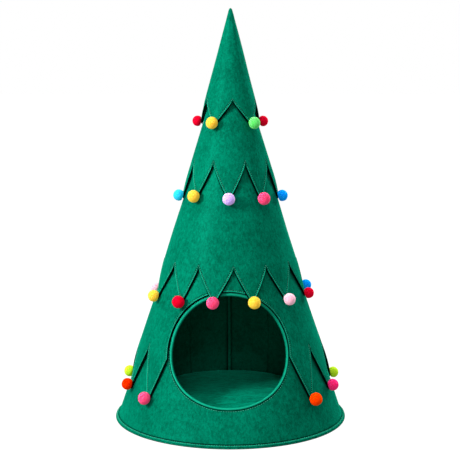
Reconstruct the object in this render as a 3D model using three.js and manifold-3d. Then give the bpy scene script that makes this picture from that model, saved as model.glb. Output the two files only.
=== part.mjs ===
// A cat tent in the shape of a fir tree: a felt cone with a round doorway, dressed in four
// overlapping zigzag tiers with a felt ball sewn to every point.
// Millimetres, +Z up. The doorway faces -Y and the origin is on the ground under the tip.

import * as THREE from 'three';
import { mergeVertices } from 'three/addons/utils/BufferGeometryUtils.js';
import Module from 'manifold-3d';

// Driving dimensions
const FELT = 3.0; // thickness of every felt sheet
const TOUCH = 0.3; // between pieces that lie face to face
const BASE_RADIUS = 200; // floor disc
const HEM_TURN = 7; // height at which the wall starts to turn out into its hem
const POINT_GAP = 0.9; // between a tier's points and the layer under them
const SHOULDER_RISE = 8; // height over which a tier's edge straightens above its valleys
const SEWN_RUN = 20; // height over which a tier's hidden top leans in to the wall
const WALL_COLUMNS = 72;

// The wall's outer face, from the ground to its tip. The visible foot is a straight cone.
// Above it the wall bends in a little at a time, so that each tier's top edge lies against it.
const WALL_OUTLINE = table('height radius', [
  [0, 196.0],
  [330, 84.3],
  [480, 44.8],
  [592, 17.1],
  [682, 3.0],
  [685.6, 0],
]);
// The hem's upper face, pressed thin by its seam, from its cut edge in to the wall
const HEM_OUTLINE = table('height radius', [[3.3, 199.2], [4.3, 198.2], [5.5, 195.6]]);
const WALL_SLOPE = (WALL_OUTLINE[0].radius - WALL_OUTLINE[1].radius) / WALL_OUTLINE[1].height;

// The doorway is an ellipse in the wall's flat cut, which reads as a circle once it is rolled.
const DOOR = { azimuth: -1.0, height: 146.3, halfWidth: 101.3, halfHeight: 90.6 };
const TIER_DOOR = { azimuth: -1.65, height: 146.3, halfWidth: 104.4, halfHeight: 96.5 };
const DOOR_SIDES = 56;
const DOOR_REACH = 20; // how far the cut runs past both faces

// The cushion lies inside on the floor disc: flat below, drawn in at its sides, crowned above.
const CUSHION = { radius: 178, waist: 21, top: 53.5, crown: 28.7, power: 4, columns: 40 };

// The tape over the centre back seam
const TAPE = { width: 6, thickness: 1.5, start: 30, end: 470, clearance: 0.5 };

// A felt ball's outline for a ball of radius 1, from its pressed back to its front
const BALL_OUTLINE = table('radius depth', [
  [0, -0.65],
  [0.74, -0.65],
  [0.99, -0.15],
  [0.94, 0.34],
  [0.6, 0.78],
  [0, 0.96],
]);
const BALL_BACK = 0.65;
const BALL_COLUMNS = 10;

// The tiers from the top down. Each one is a cone of its own, foot - slope * height, cut to
// points that hang from the valley height. The top edge is hidden under the tier above.
const TIERS = [
  { name: 'tier_1', foot: 188.1, slope: 0.2653, valley: 546, top: 697, hang: 2 },
  { name: 'tier_2', foot: 205.5, slope: 0.3124, valley: 442.5, top: 576, hang: 2 },
  { name: 'tier_3', foot: 201.3, slope: 0.3172, valley: 274.5, top: 478, hang: 1.5 },
  { name: 'tier_4', foot: 202.7, slope: 0.3439, valley: 136, top: 310, hang: 5 },
];
const TIER_1_INSIDE_TOP = 686; // the tip is stuffed solid above this
const TIP_OUTLINE = table('height radius', [[699.4, 2.2], [700.5, 0]]);

// Each row is one point: where its ball sits, how high, the ball's size across, its colour, and
// the valley after it. Azimuths are degrees from the doorway, positive towards +X.
const POINTS = {
  tier_1: table('azimuth height size colour valley', [
    [-98, 510.6, 18, 'crimson', -67.8],
    [-32.6, 509, 20, 'yellow', 4.8],
    [43.6, 508.8, 20, 'leaf', 75],
    [99, 510.2, 18, 'crimson', 140],
    [181, 509.5, 19, 'blue', 221],
  ]),
  tier_2: table('azimuth height size colour valley', [
    [-78, 385.7, 19.5, 'cyan', -67.5],
    [-43.4, 388.3, 20.5, 'yellow', -25.2],
    [-1.8, 386.2, 20.5, 'lilac', 21.8],
    [38.3, 385.1, 21, 'rose', 65.6],
    [77.4, 385.2, 19.5, 'blue', 99],
    [126, 386, 20, 'lime', 143],
    [161.5, 387, 20.5, 'crimson', 180],
    [198.5, 385.5, 20, 'orange', 217],
    [234, 386.5, 20, 'lilac', 262],
  ]),
  tier_3: table('azimuth height size colour valley', [
    [-107.5, 215.5, 19, 'blush', -88.5],
    [-69, 217.6, 20, 'yellow', -55.1],
    [-38.3, 218.5, 20.5, 'crimson', -27.6],
    [-12.2, 221.5, 20.5, 'rose', 2.6],
    [16.4, 221.6, 20.5, 'yellow', 31],
    [45.3, 220.8, 20, 'blush', 59.5],
    [75.5, 219.9, 18.5, 'crimson', 89.5],
    [103.7, 221.8, 19.5, 'blue', 118.5],
    [133.5, 220, 20, 'lime', 148],
    [163, 221, 20.5, 'rose', 178],
    [192.5, 219.5, 20, 'lilac', 207.5],
    [222.5, 221, 20, 'yellow', 237],
  ]),
  tier_4: table('azimuth height size colour valley', [
    [48.8, 58.8, 21.5, 'orange', 58.3],
    [70.4, 66.9, 20, 'magenta', 84],
    [100.4, 64.5, 19, 'lime', 111.5],
    [122.5, 64, 20, 'blue', 133.5],
    [145, 65, 20.5, 'yellow', 156],
    [167, 63.5, 20, 'rose', 178],
    [189, 65, 20.5, 'cyan', 200],
    [211, 64, 20, 'crimson', 222],
    [233.5, 65, 20, 'lilac', 244.5],
    [255.8, 63.5, 20, 'lime', 274],
    [287.7, 66.7, 20, 'ember', 298],
    [310.5, 59.8, 21, 'rose', 321],
  ]),
};
// Tier 4 has no points across the doorway: its edge runs level there, inside its cut-out.
const LEVEL_RUN = { start: 321, end: 396.5, height: 145 };

const COLOURS = {
  felt: 0x06906a, // the tree's green
  shade: 0x057a5a, // the cushion, a little deeper
  crimson: 0xe0102e,
  yellow: 0xf9cf4f,
  leaf: 0x74d96a,
  cyan: 0x14a6dc,
  lilac: 0xc9a5f2,
  rose: 0xf2558f,
  blue: 0x1684ea,
  blush: 0xf6c2d2,
  magenta: 0xe81a63,
  orange: 0xfb5314,
  ember: 0xf6330f,
  lime: 0xb4dc22,
};

// Turns rows of plain values into objects with the named columns.
function table(columns, rows) {
  const names = columns.split(' ');
  return rows.map((row) => Object.fromEntries(names.map((name, i) => [name, row[i]])));
}

const wasm = await Module();
wasm.setup();

// A closed geometry as a solid that can be cut.
function toSolid(geometry) {
  const bare = geometry.clone();
  bare.deleteAttribute('normal');
  bare.deleteAttribute('uv');
  const merged = mergeVertices(bare, 1e-4);
  return new wasm.Manifold(new wasm.Mesh({
    numProp: 3,
    vertProperties: new Float32Array(merged.attributes.position.array),
    triVerts: new Uint32Array(merged.index.array),
  }));
}

// A cut solid as a geometry again.
function toGeometry(solid) {
  const mesh = solid.getMesh();
  const geometry = new THREE.BufferGeometry();
  geometry.setAttribute('position', new THREE.BufferAttribute(mesh.vertProperties, 3));
  geometry.setIndex(new THREE.BufferAttribute(mesh.triVerts, 1));
  geometry.computeVertexNormals();
  return geometry;
}

function feltMaterial(colour, roughness = 0.95) {
  return new THREE.MeshStandardMaterial({ color: colour, roughness, metalness: 0 });
}

function namedMesh(name, geometry, colour) {
  const mesh = new THREE.Mesh(geometry, feltMaterial(colour));
  mesh.name = name;
  return mesh;
}

const radians = THREE.MathUtils.degToRad;

// A point at a radius and height, seen at an azimuth from the doorway.
function around(radius, azimuth, height) {
  const angle = radians(azimuth);
  return new THREE.Vector3(radius * Math.sin(angle), -radius * Math.cos(angle), height);
}

// The outline's radius at a height, by straight lines between its rows.
function outlineRadius(outline, height) {
  const upper = outline.findIndex((row) => row.height >= height);
  const [low, high] = [outline[Math.max(upper - 1, 0)], outline[Math.max(upper, 1)]];
  const share = (height - low.height) / (high.height - low.height);
  return THREE.MathUtils.lerp(low.radius, high.radius, share);
}

// A felt sheet on a sloping wall is wider, measured level, than its thickness.
function levelFelt(slope) {
  return FELT * Math.hypot(1, slope);
}

// Closed sections, one for each azimuth, joined into one body that runs all the way round.
// A section that starts and ends on the axis gives a body with poles, and any other a ring.
// Each section runs up the outside and comes down the inside.
function wrapAround(sections, closedSection) {
  const rows = sections[0].length;
  const positions = sections.flatMap((section) => section.flatMap((point) => point.toArray()));
  const index = [];
  const addTriangle = (a, b, c) => {
    const corner = (i) => positions.slice(3 * i, 3 * i + 3).join(' ');
    const corners = new Set([corner(a), corner(b), corner(c)]);
    if (corners.size === 3) index.push(a, b, c);
  };
  const bands = closedSection ? rows : rows - 1;
  for (let column = 0; column < sections.length; column += 1) {
    const next = (column + 1) % sections.length;
    for (let row = 0; row < bands; row += 1) {
      const above = (row + 1) % rows;
      const [a, b] = [column * rows + row, next * rows + row];
      const [c, d] = [next * rows + above, column * rows + above];
      addTriangle(a, b, c);
      addTriangle(a, c, d);
    }
  }
  const geometry = new THREE.BufferGeometry();
  geometry.setAttribute('position', new THREE.Float32BufferAttribute(positions, 3));
  geometry.setIndex(index);
  return mergeVertices(geometry, 1e-4);
}

// The cutter for a doorway: an ellipse laid out on the wall's flat cut, rolled onto the cone and
// carried through the felt square to its face.
function doorCutter(door) {
  const tilt = Math.atan(WALL_SLOPE);
  const apex = WALL_OUTLINE[0].radius / WALL_SLOPE;
  const centreRun = (apex - door.height) / Math.cos(tilt);
  const rims = [-DOOR_REACH, DOOR_REACH].map((offset) => {
    const rim = [];
    for (let i = 0; i < DOOR_SIDES; i += 1) {
      const turn = (2 * Math.PI * i) / DOOR_SIDES;
      const across = door.halfWidth * Math.cos(turn);
      const down = centreRun - door.halfHeight * Math.sin(turn);
      const run = Math.hypot(across, down);
      const azimuth = door.azimuth
        + THREE.MathUtils.radToDeg(Math.atan2(across, down) / Math.sin(tilt));
      const height = apex - run * Math.cos(tilt) + offset * Math.sin(tilt);
      rim.push(around(run * Math.sin(tilt) + offset * Math.cos(tilt), azimuth, height));
    }
    return rim;
  });
  const middle = (apex - door.height) * WALL_SLOPE;
  const capInset = 3 * DOOR_REACH;
  const innerCap = around(middle - capInset, door.azimuth, door.height);
  const outerCap = around(middle + capInset, door.azimuth, door.height);
  const sections = rims[0].map((inner, i) => [innerCap, inner, rims[1][i], outerCap]);
  return toSolid(wrapAround(sections, false));
}

function cutDoor(geometry, door) {
  return toGeometry(toSolid(geometry).subtract(doorCutter(door)));
}

// The wall: an open-bottomed cone of felt, closed at its tip, its foot turned out as a hem.
function wallGeometry() {
  const foot = FELT + TOUCH;
  const thick = levelFelt(WALL_SLOPE);
  const outside = WALL_OUTLINE.filter((row) => row.height > HEM_TURN)
    .map((row) => [row.radius, row.height]);
  const closing = WALL_OUTLINE.at(-3);
  const tipRow = WALL_OUTLINE.at(-2);
  const tipSlope = (closing.radius - tipRow.radius) / (tipRow.height - closing.height);
  const tipInside = closing.height + (closing.radius - FELT) / tipSlope;
  const inside = WALL_OUTLINE
    .filter((row) => row.height > HEM_TURN && row.height <= closing.height)
    .map((row) => [row.radius - thick, row.height]).reverse();
  const profile = [
    [outlineRadius(WALL_OUTLINE, foot) - thick, foot],
    ...HEM_OUTLINE.map((row) => [row.radius, row.height]),
    [outlineRadius(WALL_OUTLINE, HEM_TURN), HEM_TURN],
    ...outside,
    [0, tipInside],
    ...inside,
  ];
  // The profile is turned so that it starts at the outer tip and ends at the inner one.
  const start = profile.findIndex(([radius]) => radius === 0);
  const ordered = [...profile.slice(start + 1), ...profile.slice(0, start + 1)];
  const sections = [];
  for (let column = 0; column < WALL_COLUMNS; column += 1) {
    const azimuth = (360 * column) / WALL_COLUMNS;
    sections.push(ordered.map(([radius, height]) => around(radius, azimuth, height)));
  }
  return wrapAround(sections, false);
}

// A tier's points as alternating tips and valleys, once round, with the level run of tier 4.
function edgeCorners(tier) {
  const corners = [];
  for (const point of POINTS[tier.name]) {
    corners.push({ azimuth: point.azimuth, height: point.height - tier.hang });
    const last = tier.name === 'tier_4' && point.valley === LEVEL_RUN.start;
    corners.push({ azimuth: point.valley, height: last ? LEVEL_RUN.height : tier.valley });
    if (last) corners.push({ azimuth: LEVEL_RUN.end, height: LEVEL_RUN.height });
  }
  return corners;
}

// The face that a tier hangs over: the tier below it, or the wall under tier 4.
function underRadius(tier, height) {
  const below = TIERS[TIERS.indexOf(tier) + 1];
  if (!below) return outlineRadius(WALL_OUTLINE, height);
  return below.foot - below.slope * height;
}

// A tier's outer face: its own cone, with the points leaning in to rest on the layer under
// them, and the hidden top edge leaning in to lie against the wall.
function tierRadius(tier, height) {
  const cone = tier.foot - tier.slope * height;
  const thick = levelFelt(tier.slope);
  const lowest = Math.min(...POINTS[tier.name].map((point) => point.height)) - tier.hang;
  const drop = THREE.MathUtils.clamp((tier.valley - height) / (tier.valley - lowest), 0, 1);
  const resting = underRadius(tier, height) + POINT_GAP + thick;
  if (drop > 0) return THREE.MathUtils.lerp(cone, Math.min(cone, resting), drop ** 1.5);
  if (tier.name === 'tier_1') return cone;
  const climb = THREE.MathUtils.clamp((height - tier.top + SEWN_RUN) / SEWN_RUN, 0, 1);
  const sewn = outlineRadius(WALL_OUTLINE, height) + 2 * TOUCH + thick;
  return THREE.MathUtils.lerp(cone, Math.min(cone, sewn), climb);
}

// The heights of a tier's rows, from its zigzag edge to its top.
function sectionHeights(tier, edge) {
  const shoulder = Math.max(edge, tier.valley) + SHOULDER_RISE;
  const heights = [edge, (edge + shoulder) / 2, shoulder, tier.top];
  if (tier.name !== 'tier_1') heights.splice(-1, 0, tier.top - SEWN_RUN);
  return heights;
}

// A tier's outer and inner faces at one azimuth, from the zigzag edge up.
function tierSection(tier, azimuth, edge) {
  const tilt = Math.atan(tier.slope);
  const outside = sectionHeights(tier, edge).map((height) => [tierRadius(tier, height), height]);
  const inside = outside.map(([radius, height]) => [
    radius - FELT * Math.cos(tilt),
    height - FELT * Math.sin(tilt),
  ]);
  if (tier.name === 'tier_1') {
    TIP_OUTLINE.forEach((row) => outside.push([row.radius, row.height]));
    const top = TIER_1_INSIDE_TOP;
    const topRadius = tier.foot - tier.slope * top - levelFelt(tier.slope);
    inside.splice(-1, 1, [topRadius, top], [0, top]);
  }
  const loop = [...inside.reverse(), ...outside];
  return loop.map(([radius, height]) => around(radius, azimuth, height));
}

// A tier, with columns at every tip and valley and a few between them.
function tierGeometry(tier) {
  const corners = edgeCorners(tier);
  const columnStep = tier.name === 'tier_1' ? 6.5 : 5.5;
  const sections = [];
  corners.forEach((corner, i) => {
    const wrapped = i + 1 === corners.length;
    const next = corners[wrapped ? 0 : i + 1];
    const sweep = next.azimuth + (wrapped ? 360 : 0) - corner.azimuth;
    const steps = Math.max(1, Math.round(sweep / columnStep));
    for (let step = 0; step < steps; step += 1) {
      const azimuth = corner.azimuth + (sweep * step) / steps;
      const edge = THREE.MathUtils.lerp(corner.height, next.height, step / steps);
      sections.push(tierSection(tier, azimuth, edge));
    }
  });
  const sheet = wrapAround(sections, tier.name !== 'tier_1');
  return tier.name === 'tier_4' ? cutDoor(sheet, TIER_DOOR) : sheet;
}

// A felt ball sewn to a point: its pressed back lies on the tier's face, square to it.
function pompomMesh(tier, point, number) {
  const radius = point.size / 2;
  const profile = BALL_OUTLINE.map((row) => (
    new THREE.Vector2(row.radius * radius, row.depth * radius)
  ));
  const geometry = new THREE.LatheGeometry(profile, BALL_COLUMNS);
  const name = `pompom_${tier.name.at(-1)}_${String(number).padStart(2, '0')}`;
  const mesh = namedMesh(name, geometry, COLOURS[point.colour]);
  const [low, high] = sectionHeights(tier, point.height - tier.hang);
  const [lowRadius, highRadius] = [tierRadius(tier, low), tierRadius(tier, high)];
  const tilt = Math.atan2(lowRadius - highRadius, high - low);
  const outward = around(Math.cos(tilt), point.azimuth, Math.sin(tilt));
  const faceRadius = lowRadius - tier.hang * Math.tan(tilt);
  const face = around(faceRadius, point.azimuth, point.height);
  mesh.position.copy(face.addScaledVector(outward, TOUCH + BALL_BACK * radius));
  mesh.quaternion.setFromUnitVectors(new THREE.Vector3(0, 1, 0), outward);
  return mesh;
}

function discGeometry() {
  const profile = [[0, 0], [BASE_RADIUS, 0], [BASE_RADIUS, FELT], [0, FELT]];
  const disc = new THREE.LatheGeometry(
    profile.map(([radius, height]) => new THREE.Vector2(radius, height)),
    WALL_COLUMNS,
  );
  return disc.rotateX(Math.PI / 2);
}

// The cushion's crown falls away from the middle as a power of the radius.
function cushionGeometry() {
  const { radius, waist, top, crown, power, columns } = CUSHION;
  const floor = FELT + TOUCH;
  const crownAt = (share) => [radius * share, top - crown * share ** power];
  const profile = [
    [0, floor],
    [radius * 0.84, floor],
    [radius * 0.94, floor + 0.18 * (waist - floor)],
    [radius * 0.99, floor + 0.55 * (waist - floor)],
    [radius, waist],
    ...[0.965, 0.9, 0.79, 0.62, 0.4].map(crownAt),
    [0, top],
  ];
  const pad = new THREE.LatheGeometry(
    profile.map(([r, height]) => new THREE.Vector2(r, height)),
    columns,
  );
  return pad.rotateX(Math.PI / 2);
}

// The seam tape runs up the inside of the wall at the centre back.
function tapeGeometry() {
  const heights = [TAPE.start, WALL_OUTLINE[1].height, TAPE.end];
  const thick = levelFelt(WALL_SLOPE);
  const loops = heights.map((height) => {
    const outer = outlineRadius(WALL_OUTLINE, height) - thick - TAPE.clearance;
    const half = TAPE.width / 2;
    return [
      new THREE.Vector3(-half, outer, height),
      new THREE.Vector3(-half, outer - TAPE.thickness, height),
      new THREE.Vector3(half, outer - TAPE.thickness, height),
      new THREE.Vector3(half, outer, height),
    ];
  });
  // Each section runs from the middle of the lower end, up one corner, to the upper end.
  const middle = (loop) => loop[0].clone().add(loop[2]).multiplyScalar(0.5);
  const sections = [0, 1, 2, 3].map((corner) => [
    middle(loops[0]),
    ...loops.map((loop) => loop[corner]),
    middle(loops.at(-1)),
  ]);
  return wrapAround(sections, false);
}

const tent = new THREE.Group();
tent.add(namedMesh('floor_disc', discGeometry(), COLOURS.felt));
tent.add(namedMesh('wall', cutDoor(wallGeometry(), DOOR), COLOURS.felt));
tent.add(namedMesh('seam_tape', tapeGeometry(), COLOURS.felt));
tent.add(namedMesh('cushion', cushionGeometry(), COLOURS.shade));
for (const tier of TIERS) {
  tent.add(namedMesh(tier.name, tierGeometry(tier), COLOURS.felt));
  POINTS[tier.name].forEach((point, i) => tent.add(pompomMesh(tier, point, i + 1)));
}

export default tent;
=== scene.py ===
"""A felt cat tent in the shape of a fir tree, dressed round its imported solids.

Lengths in this script are millimetres, as a maker would cut them, and meshes are made in metres.
Azimuths are degrees round the tent from the middle of its doorway, positive towards +X.
"""
import logging
import math
from collections.abc import Sequence
from dataclasses import dataclass
from enum import Enum

import bpy
import numpy as np
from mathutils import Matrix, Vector


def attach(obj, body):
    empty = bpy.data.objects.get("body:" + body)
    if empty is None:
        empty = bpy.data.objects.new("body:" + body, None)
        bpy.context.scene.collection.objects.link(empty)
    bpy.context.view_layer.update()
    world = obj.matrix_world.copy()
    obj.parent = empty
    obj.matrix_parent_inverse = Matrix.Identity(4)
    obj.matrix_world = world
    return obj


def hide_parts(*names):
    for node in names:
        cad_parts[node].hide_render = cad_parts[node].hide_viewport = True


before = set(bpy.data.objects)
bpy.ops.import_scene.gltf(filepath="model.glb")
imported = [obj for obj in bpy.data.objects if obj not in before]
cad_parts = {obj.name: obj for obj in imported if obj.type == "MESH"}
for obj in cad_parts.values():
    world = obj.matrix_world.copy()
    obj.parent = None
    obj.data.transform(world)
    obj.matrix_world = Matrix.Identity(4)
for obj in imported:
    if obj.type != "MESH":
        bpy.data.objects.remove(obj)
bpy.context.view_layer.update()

Numbers = np.ndarray | float
Pair = tuple[np.ndarray, np.ndarray]
Rows = tuple[tuple[float, ...], ...]

LOG = logging.getLogger("cat_tent")
MM = 0.001  # metres in a millimetre
TINY = 1e-12  # keeps a length of nothing from dividing

# Cloth and sewing
FELT = 3.0  # thickness of every felt sheet
TOUCH = 0.3  # between sheets that lie face to face
POINT_GAP = 0.9  # between a tier's points and the layer under them
SEWN_RUN = 20.0  # height over which a tier's hidden top leans in to the wall
STITCH_INSET = 2.7  # from a tier's cut edge to its line of stitches
EDGE_PITCH = 3.4  # from one stitch to the next along the tiers
RIM_PITCH = 4.0  # and round the doorway and the hem
LEAST_RADIUS = 0.2  # of a ring close to a tip, so that its points stay apart


def around(radius: Numbers, azimuth: Numbers, height: Numbers) -> np.ndarray:
    """Places points round the axis: (r sin a, -r cos a, z).

    Args:
        radius: Distance from the axis.
        azimuth: Degrees round from the doorway, positive towards +X.
        height: Height above the ground.

    Returns:
        The points, with x, y and z on the last axis.
    """
    turn = np.radians(azimuth)
    parts = np.broadcast_arrays(radius * np.sin(turn), -radius * np.cos(turn), height)
    return np.stack(parts, axis=-1).astype(float)


def facing(azimuth: Numbers, lean: float) -> np.ndarray:
    """Returns directions out from the axis at an azimuth, tipped up by a lean in radians."""
    return around(math.cos(lean), azimuth, math.sin(lean))


def unit(vectors: np.ndarray) -> np.ndarray:
    """Returns the vectors scaled to length 1."""
    return vectors / np.maximum(np.linalg.norm(vectors, axis=-1, keepdims=True), TINY)


def turned(azimuth: Numbers, middle: Numbers) -> np.ndarray:
    """Returns how far azimuths lie past a middle one, in degrees from -180 to 180."""
    return (azimuth - middle + 180.0) % 360.0 - 180.0


def ripple(azimuth: Numbers, height: Numbers) -> np.ndarray:
    """Finds how far felt stands off its true cone: three slow waves, under 1 mm in all.

    Args:
        azimuth: Degrees round from the doorway.
        height: Height above the ground.

    Returns:
        The sum of the waves 0.30 sin(3 a), 0.22 sin(5 a) and 0.16 sin(11 a), each of which winds
        round the tent as it rises.
    """
    turn = np.radians(azimuth)
    wave = 0.30 * np.sin(3 * turn + 0.021 * height + 0.6)
    wave = wave + 0.22 * np.sin(5 * turn - 0.034 * height + 2.1)
    return wave + 0.16 * np.sin(11 * turn + 0.047 * height + 4.0)


class SheetMesh:
    """Grids of points and the faces between them, gathered into one mesh."""

    def __init__(self) -> None:
        """Starts with no points and no faces."""
        self._points: list[np.ndarray] = []
        self._pressed: list[np.ndarray] = []
        self._count = 0
        self._quads: list[np.ndarray] = []
        self._triangles: list[np.ndarray] = []

    def points(self, places: np.ndarray, pressed: Numbers = 0.0) -> np.ndarray:
        """Adds points.

        Args:
            places: An array of any shape whose last axis is x, y and z in millimetres.
            pressed: Painted shade in seams, creases, cut edges and gaps where positive, up to 1,
            and a painted highlight on turned lips where negative, down to -1.

        Returns:
            The points' numbers, in an array of the same shape without its last axis.
        """
        flat = places.reshape(-1, 3)
        numbers = np.arange(self._count, self._count + len(flat)).reshape(places.shape[:-1])
        self._points.append(flat)
        self._pressed.append(np.broadcast_to(pressed, numbers.shape).reshape(-1))
        self._count += len(flat)
        return numbers

    def quads(self, grid: np.ndarray, round_rows: bool = False, round_columns: bool = False,
              keep: np.ndarray | None = None) -> None:
        """Fills a grid of point numbers with four-sided faces.

        Args:
            grid: Point numbers by row and column.
            round_rows: The last row joins the first.
            round_columns: The last column joins the first.
            keep: Which cells get a face, where not all do.
        """
        if round_rows:
            grid = np.vstack([grid, grid[:1]])
        if round_columns:
            grid = np.hstack([grid, grid[:, :1]])
        corners = (grid[:-1, :-1], grid[:-1, 1:], grid[1:, 1:], grid[1:, :-1])
        faces = np.stack(corners, axis=-1)
        self._quads.append(faces.reshape(-1, 4) if keep is None else faces[keep])

    def fan(self, ring: np.ndarray, pole: int, flip: bool = False) -> None:
        """Closes a ring to one pole.

        Args:
            ring: The ring's point numbers.
            pole: The pole's number.
            flip: Whether the faces turn the other way round.
        """
        after = np.roll(ring, -1)
        pair = (after, ring) if flip else (ring, after)
        poles = np.full_like(ring, pole)
        self._triangles.append(np.stack([pair[0], pair[1], poles], axis=-1))

    def tubes(self, rings: np.ndarray) -> None:
        """Fills many short tubes with faces and closes their ends.

        Args:
            rings: Point numbers by tube, ring and side.
        """
        after = np.roll(rings, -1, axis=2)
        faces = (rings[:, :-1], after[:, :-1], after[:, 1:], rings[:, 1:])
        self._quads.append(np.stack(faces, axis=-1).reshape(-1, 4))
        for end, step in ((rings[:, 0], -1), (rings[:, -1], 1)):
            fixed = np.broadcast_to(end[:, :1], end[:, 2:].shape)
            pair = (end[:, 1:-1], end[:, 2:])[::step]
            self._triangles.append(np.stack([fixed, *pair], axis=-1).reshape(-1, 3))

    def build(self, name: str) -> bpy.types.Object:
        """Makes the object, in metres, smooth, without the points that no face uses.

        Args:
            name: The piece's name.

        Returns:
            The new object, linked to the scene.
        """
        places = np.concatenate(self._points) * MM
        quads = np.concatenate(self._quads) if self._quads else np.zeros((0, 4), int)
        triangles = np.concatenate(self._triangles) if self._triangles else np.zeros((0, 3), int)
        loops = np.concatenate([quads.ravel(), triangles.ravel()])
        used, loops = np.unique(loops, return_inverse=True)
        totals = np.concatenate([np.full(len(quads), 4), np.full(len(triangles), 3)])
        mesh = bpy.data.meshes.new(name)
        mesh.vertices.add(len(used))
        mesh.vertices.foreach_set("co", places[used].ravel())
        mesh.loops.add(len(loops))
        mesh.loops.foreach_set("vertex_index", loops.ravel())
        mesh.polygons.add(len(totals))
        mesh.polygons.foreach_set("loop_start", np.cumsum(totals) - totals)
        mesh.update(calc_edges=True)
        mesh.polygons.foreach_set("use_smooth", np.ones(len(totals), bool))
        # The painted shade (up to 1) and painted highlight (down to -1) that the felt's material
        # reads
        dark = mesh.attributes.new("pressed", "FLOAT", "POINT")
        dark.data.foreach_set("value", np.concatenate(self._pressed)[used].astype(np.float32))
        mesh.validate()
        piece = bpy.data.objects.new(name, mesh)
        bpy.context.scene.collection.objects.link(piece)
        return piece


# The finishes


def linear(colour: int) -> tuple[float, float, float, float]:
    """Turns an sRGB colour into linear light.

    Args:
        colour: The colour as 0xRRGGBB.

    Returns:
        Red, green, blue and 1 for a shader, each c / 12.92 or ((c + 0.055) / 1.055) ^ 2.4.
    """
    parts = np.array([(colour >> shift) & 255 for shift in (16, 8, 0)]) / 255
    low = parts / 12.92
    high = ((parts + 0.055) / 1.055) ** 2.4
    return (*map(float, np.where(parts <= 0.04045, low, high)), 1.0)


def add_node(tree: bpy.types.NodeTree, kind: str, settings: dict | None = None,
             **links: object) -> bpy.types.Node:
    """Adds one node to a tree.

    Args:
        tree: The tree that takes the node.
        kind: The node's type, such as ShaderNodeTexNoise.
        settings: Properties of the node, by name.
        links: A value or a socket to link for each input, by its name with _ for a space, or by
            _ and its number.

    Returns:
        The new node.
    """
    node = tree.nodes.new(kind)
    for name, value in (settings or {}).items():
        setattr(node, name, value)
    for name, value in links.items():
        number = name[1:]
        key = int(number) if name.startswith("_") and number.isdigit() else name.replace("_", " ")
        if isinstance(value, bpy.types.NodeSocket):
            tree.links.new(value, node.inputs[key])
        else:
            node.inputs[key].default_value = value
    return node


def empty_material(name: str) -> tuple[bpy.types.Material, bpy.types.NodeTree]:
    """Makes a material with no node in it.

    Args:
        name: Its name.

    Returns:
        The material and its node tree.
    """
    material = bpy.data.materials.new(name)
    material.use_nodes = True
    material.node_tree.nodes.clear()
    return material, material.node_tree


def grain(size: float) -> float:
    """Returns a noise texture's scale for features of a size in millimetres."""
    return 1.0 / (size * MM)


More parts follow.
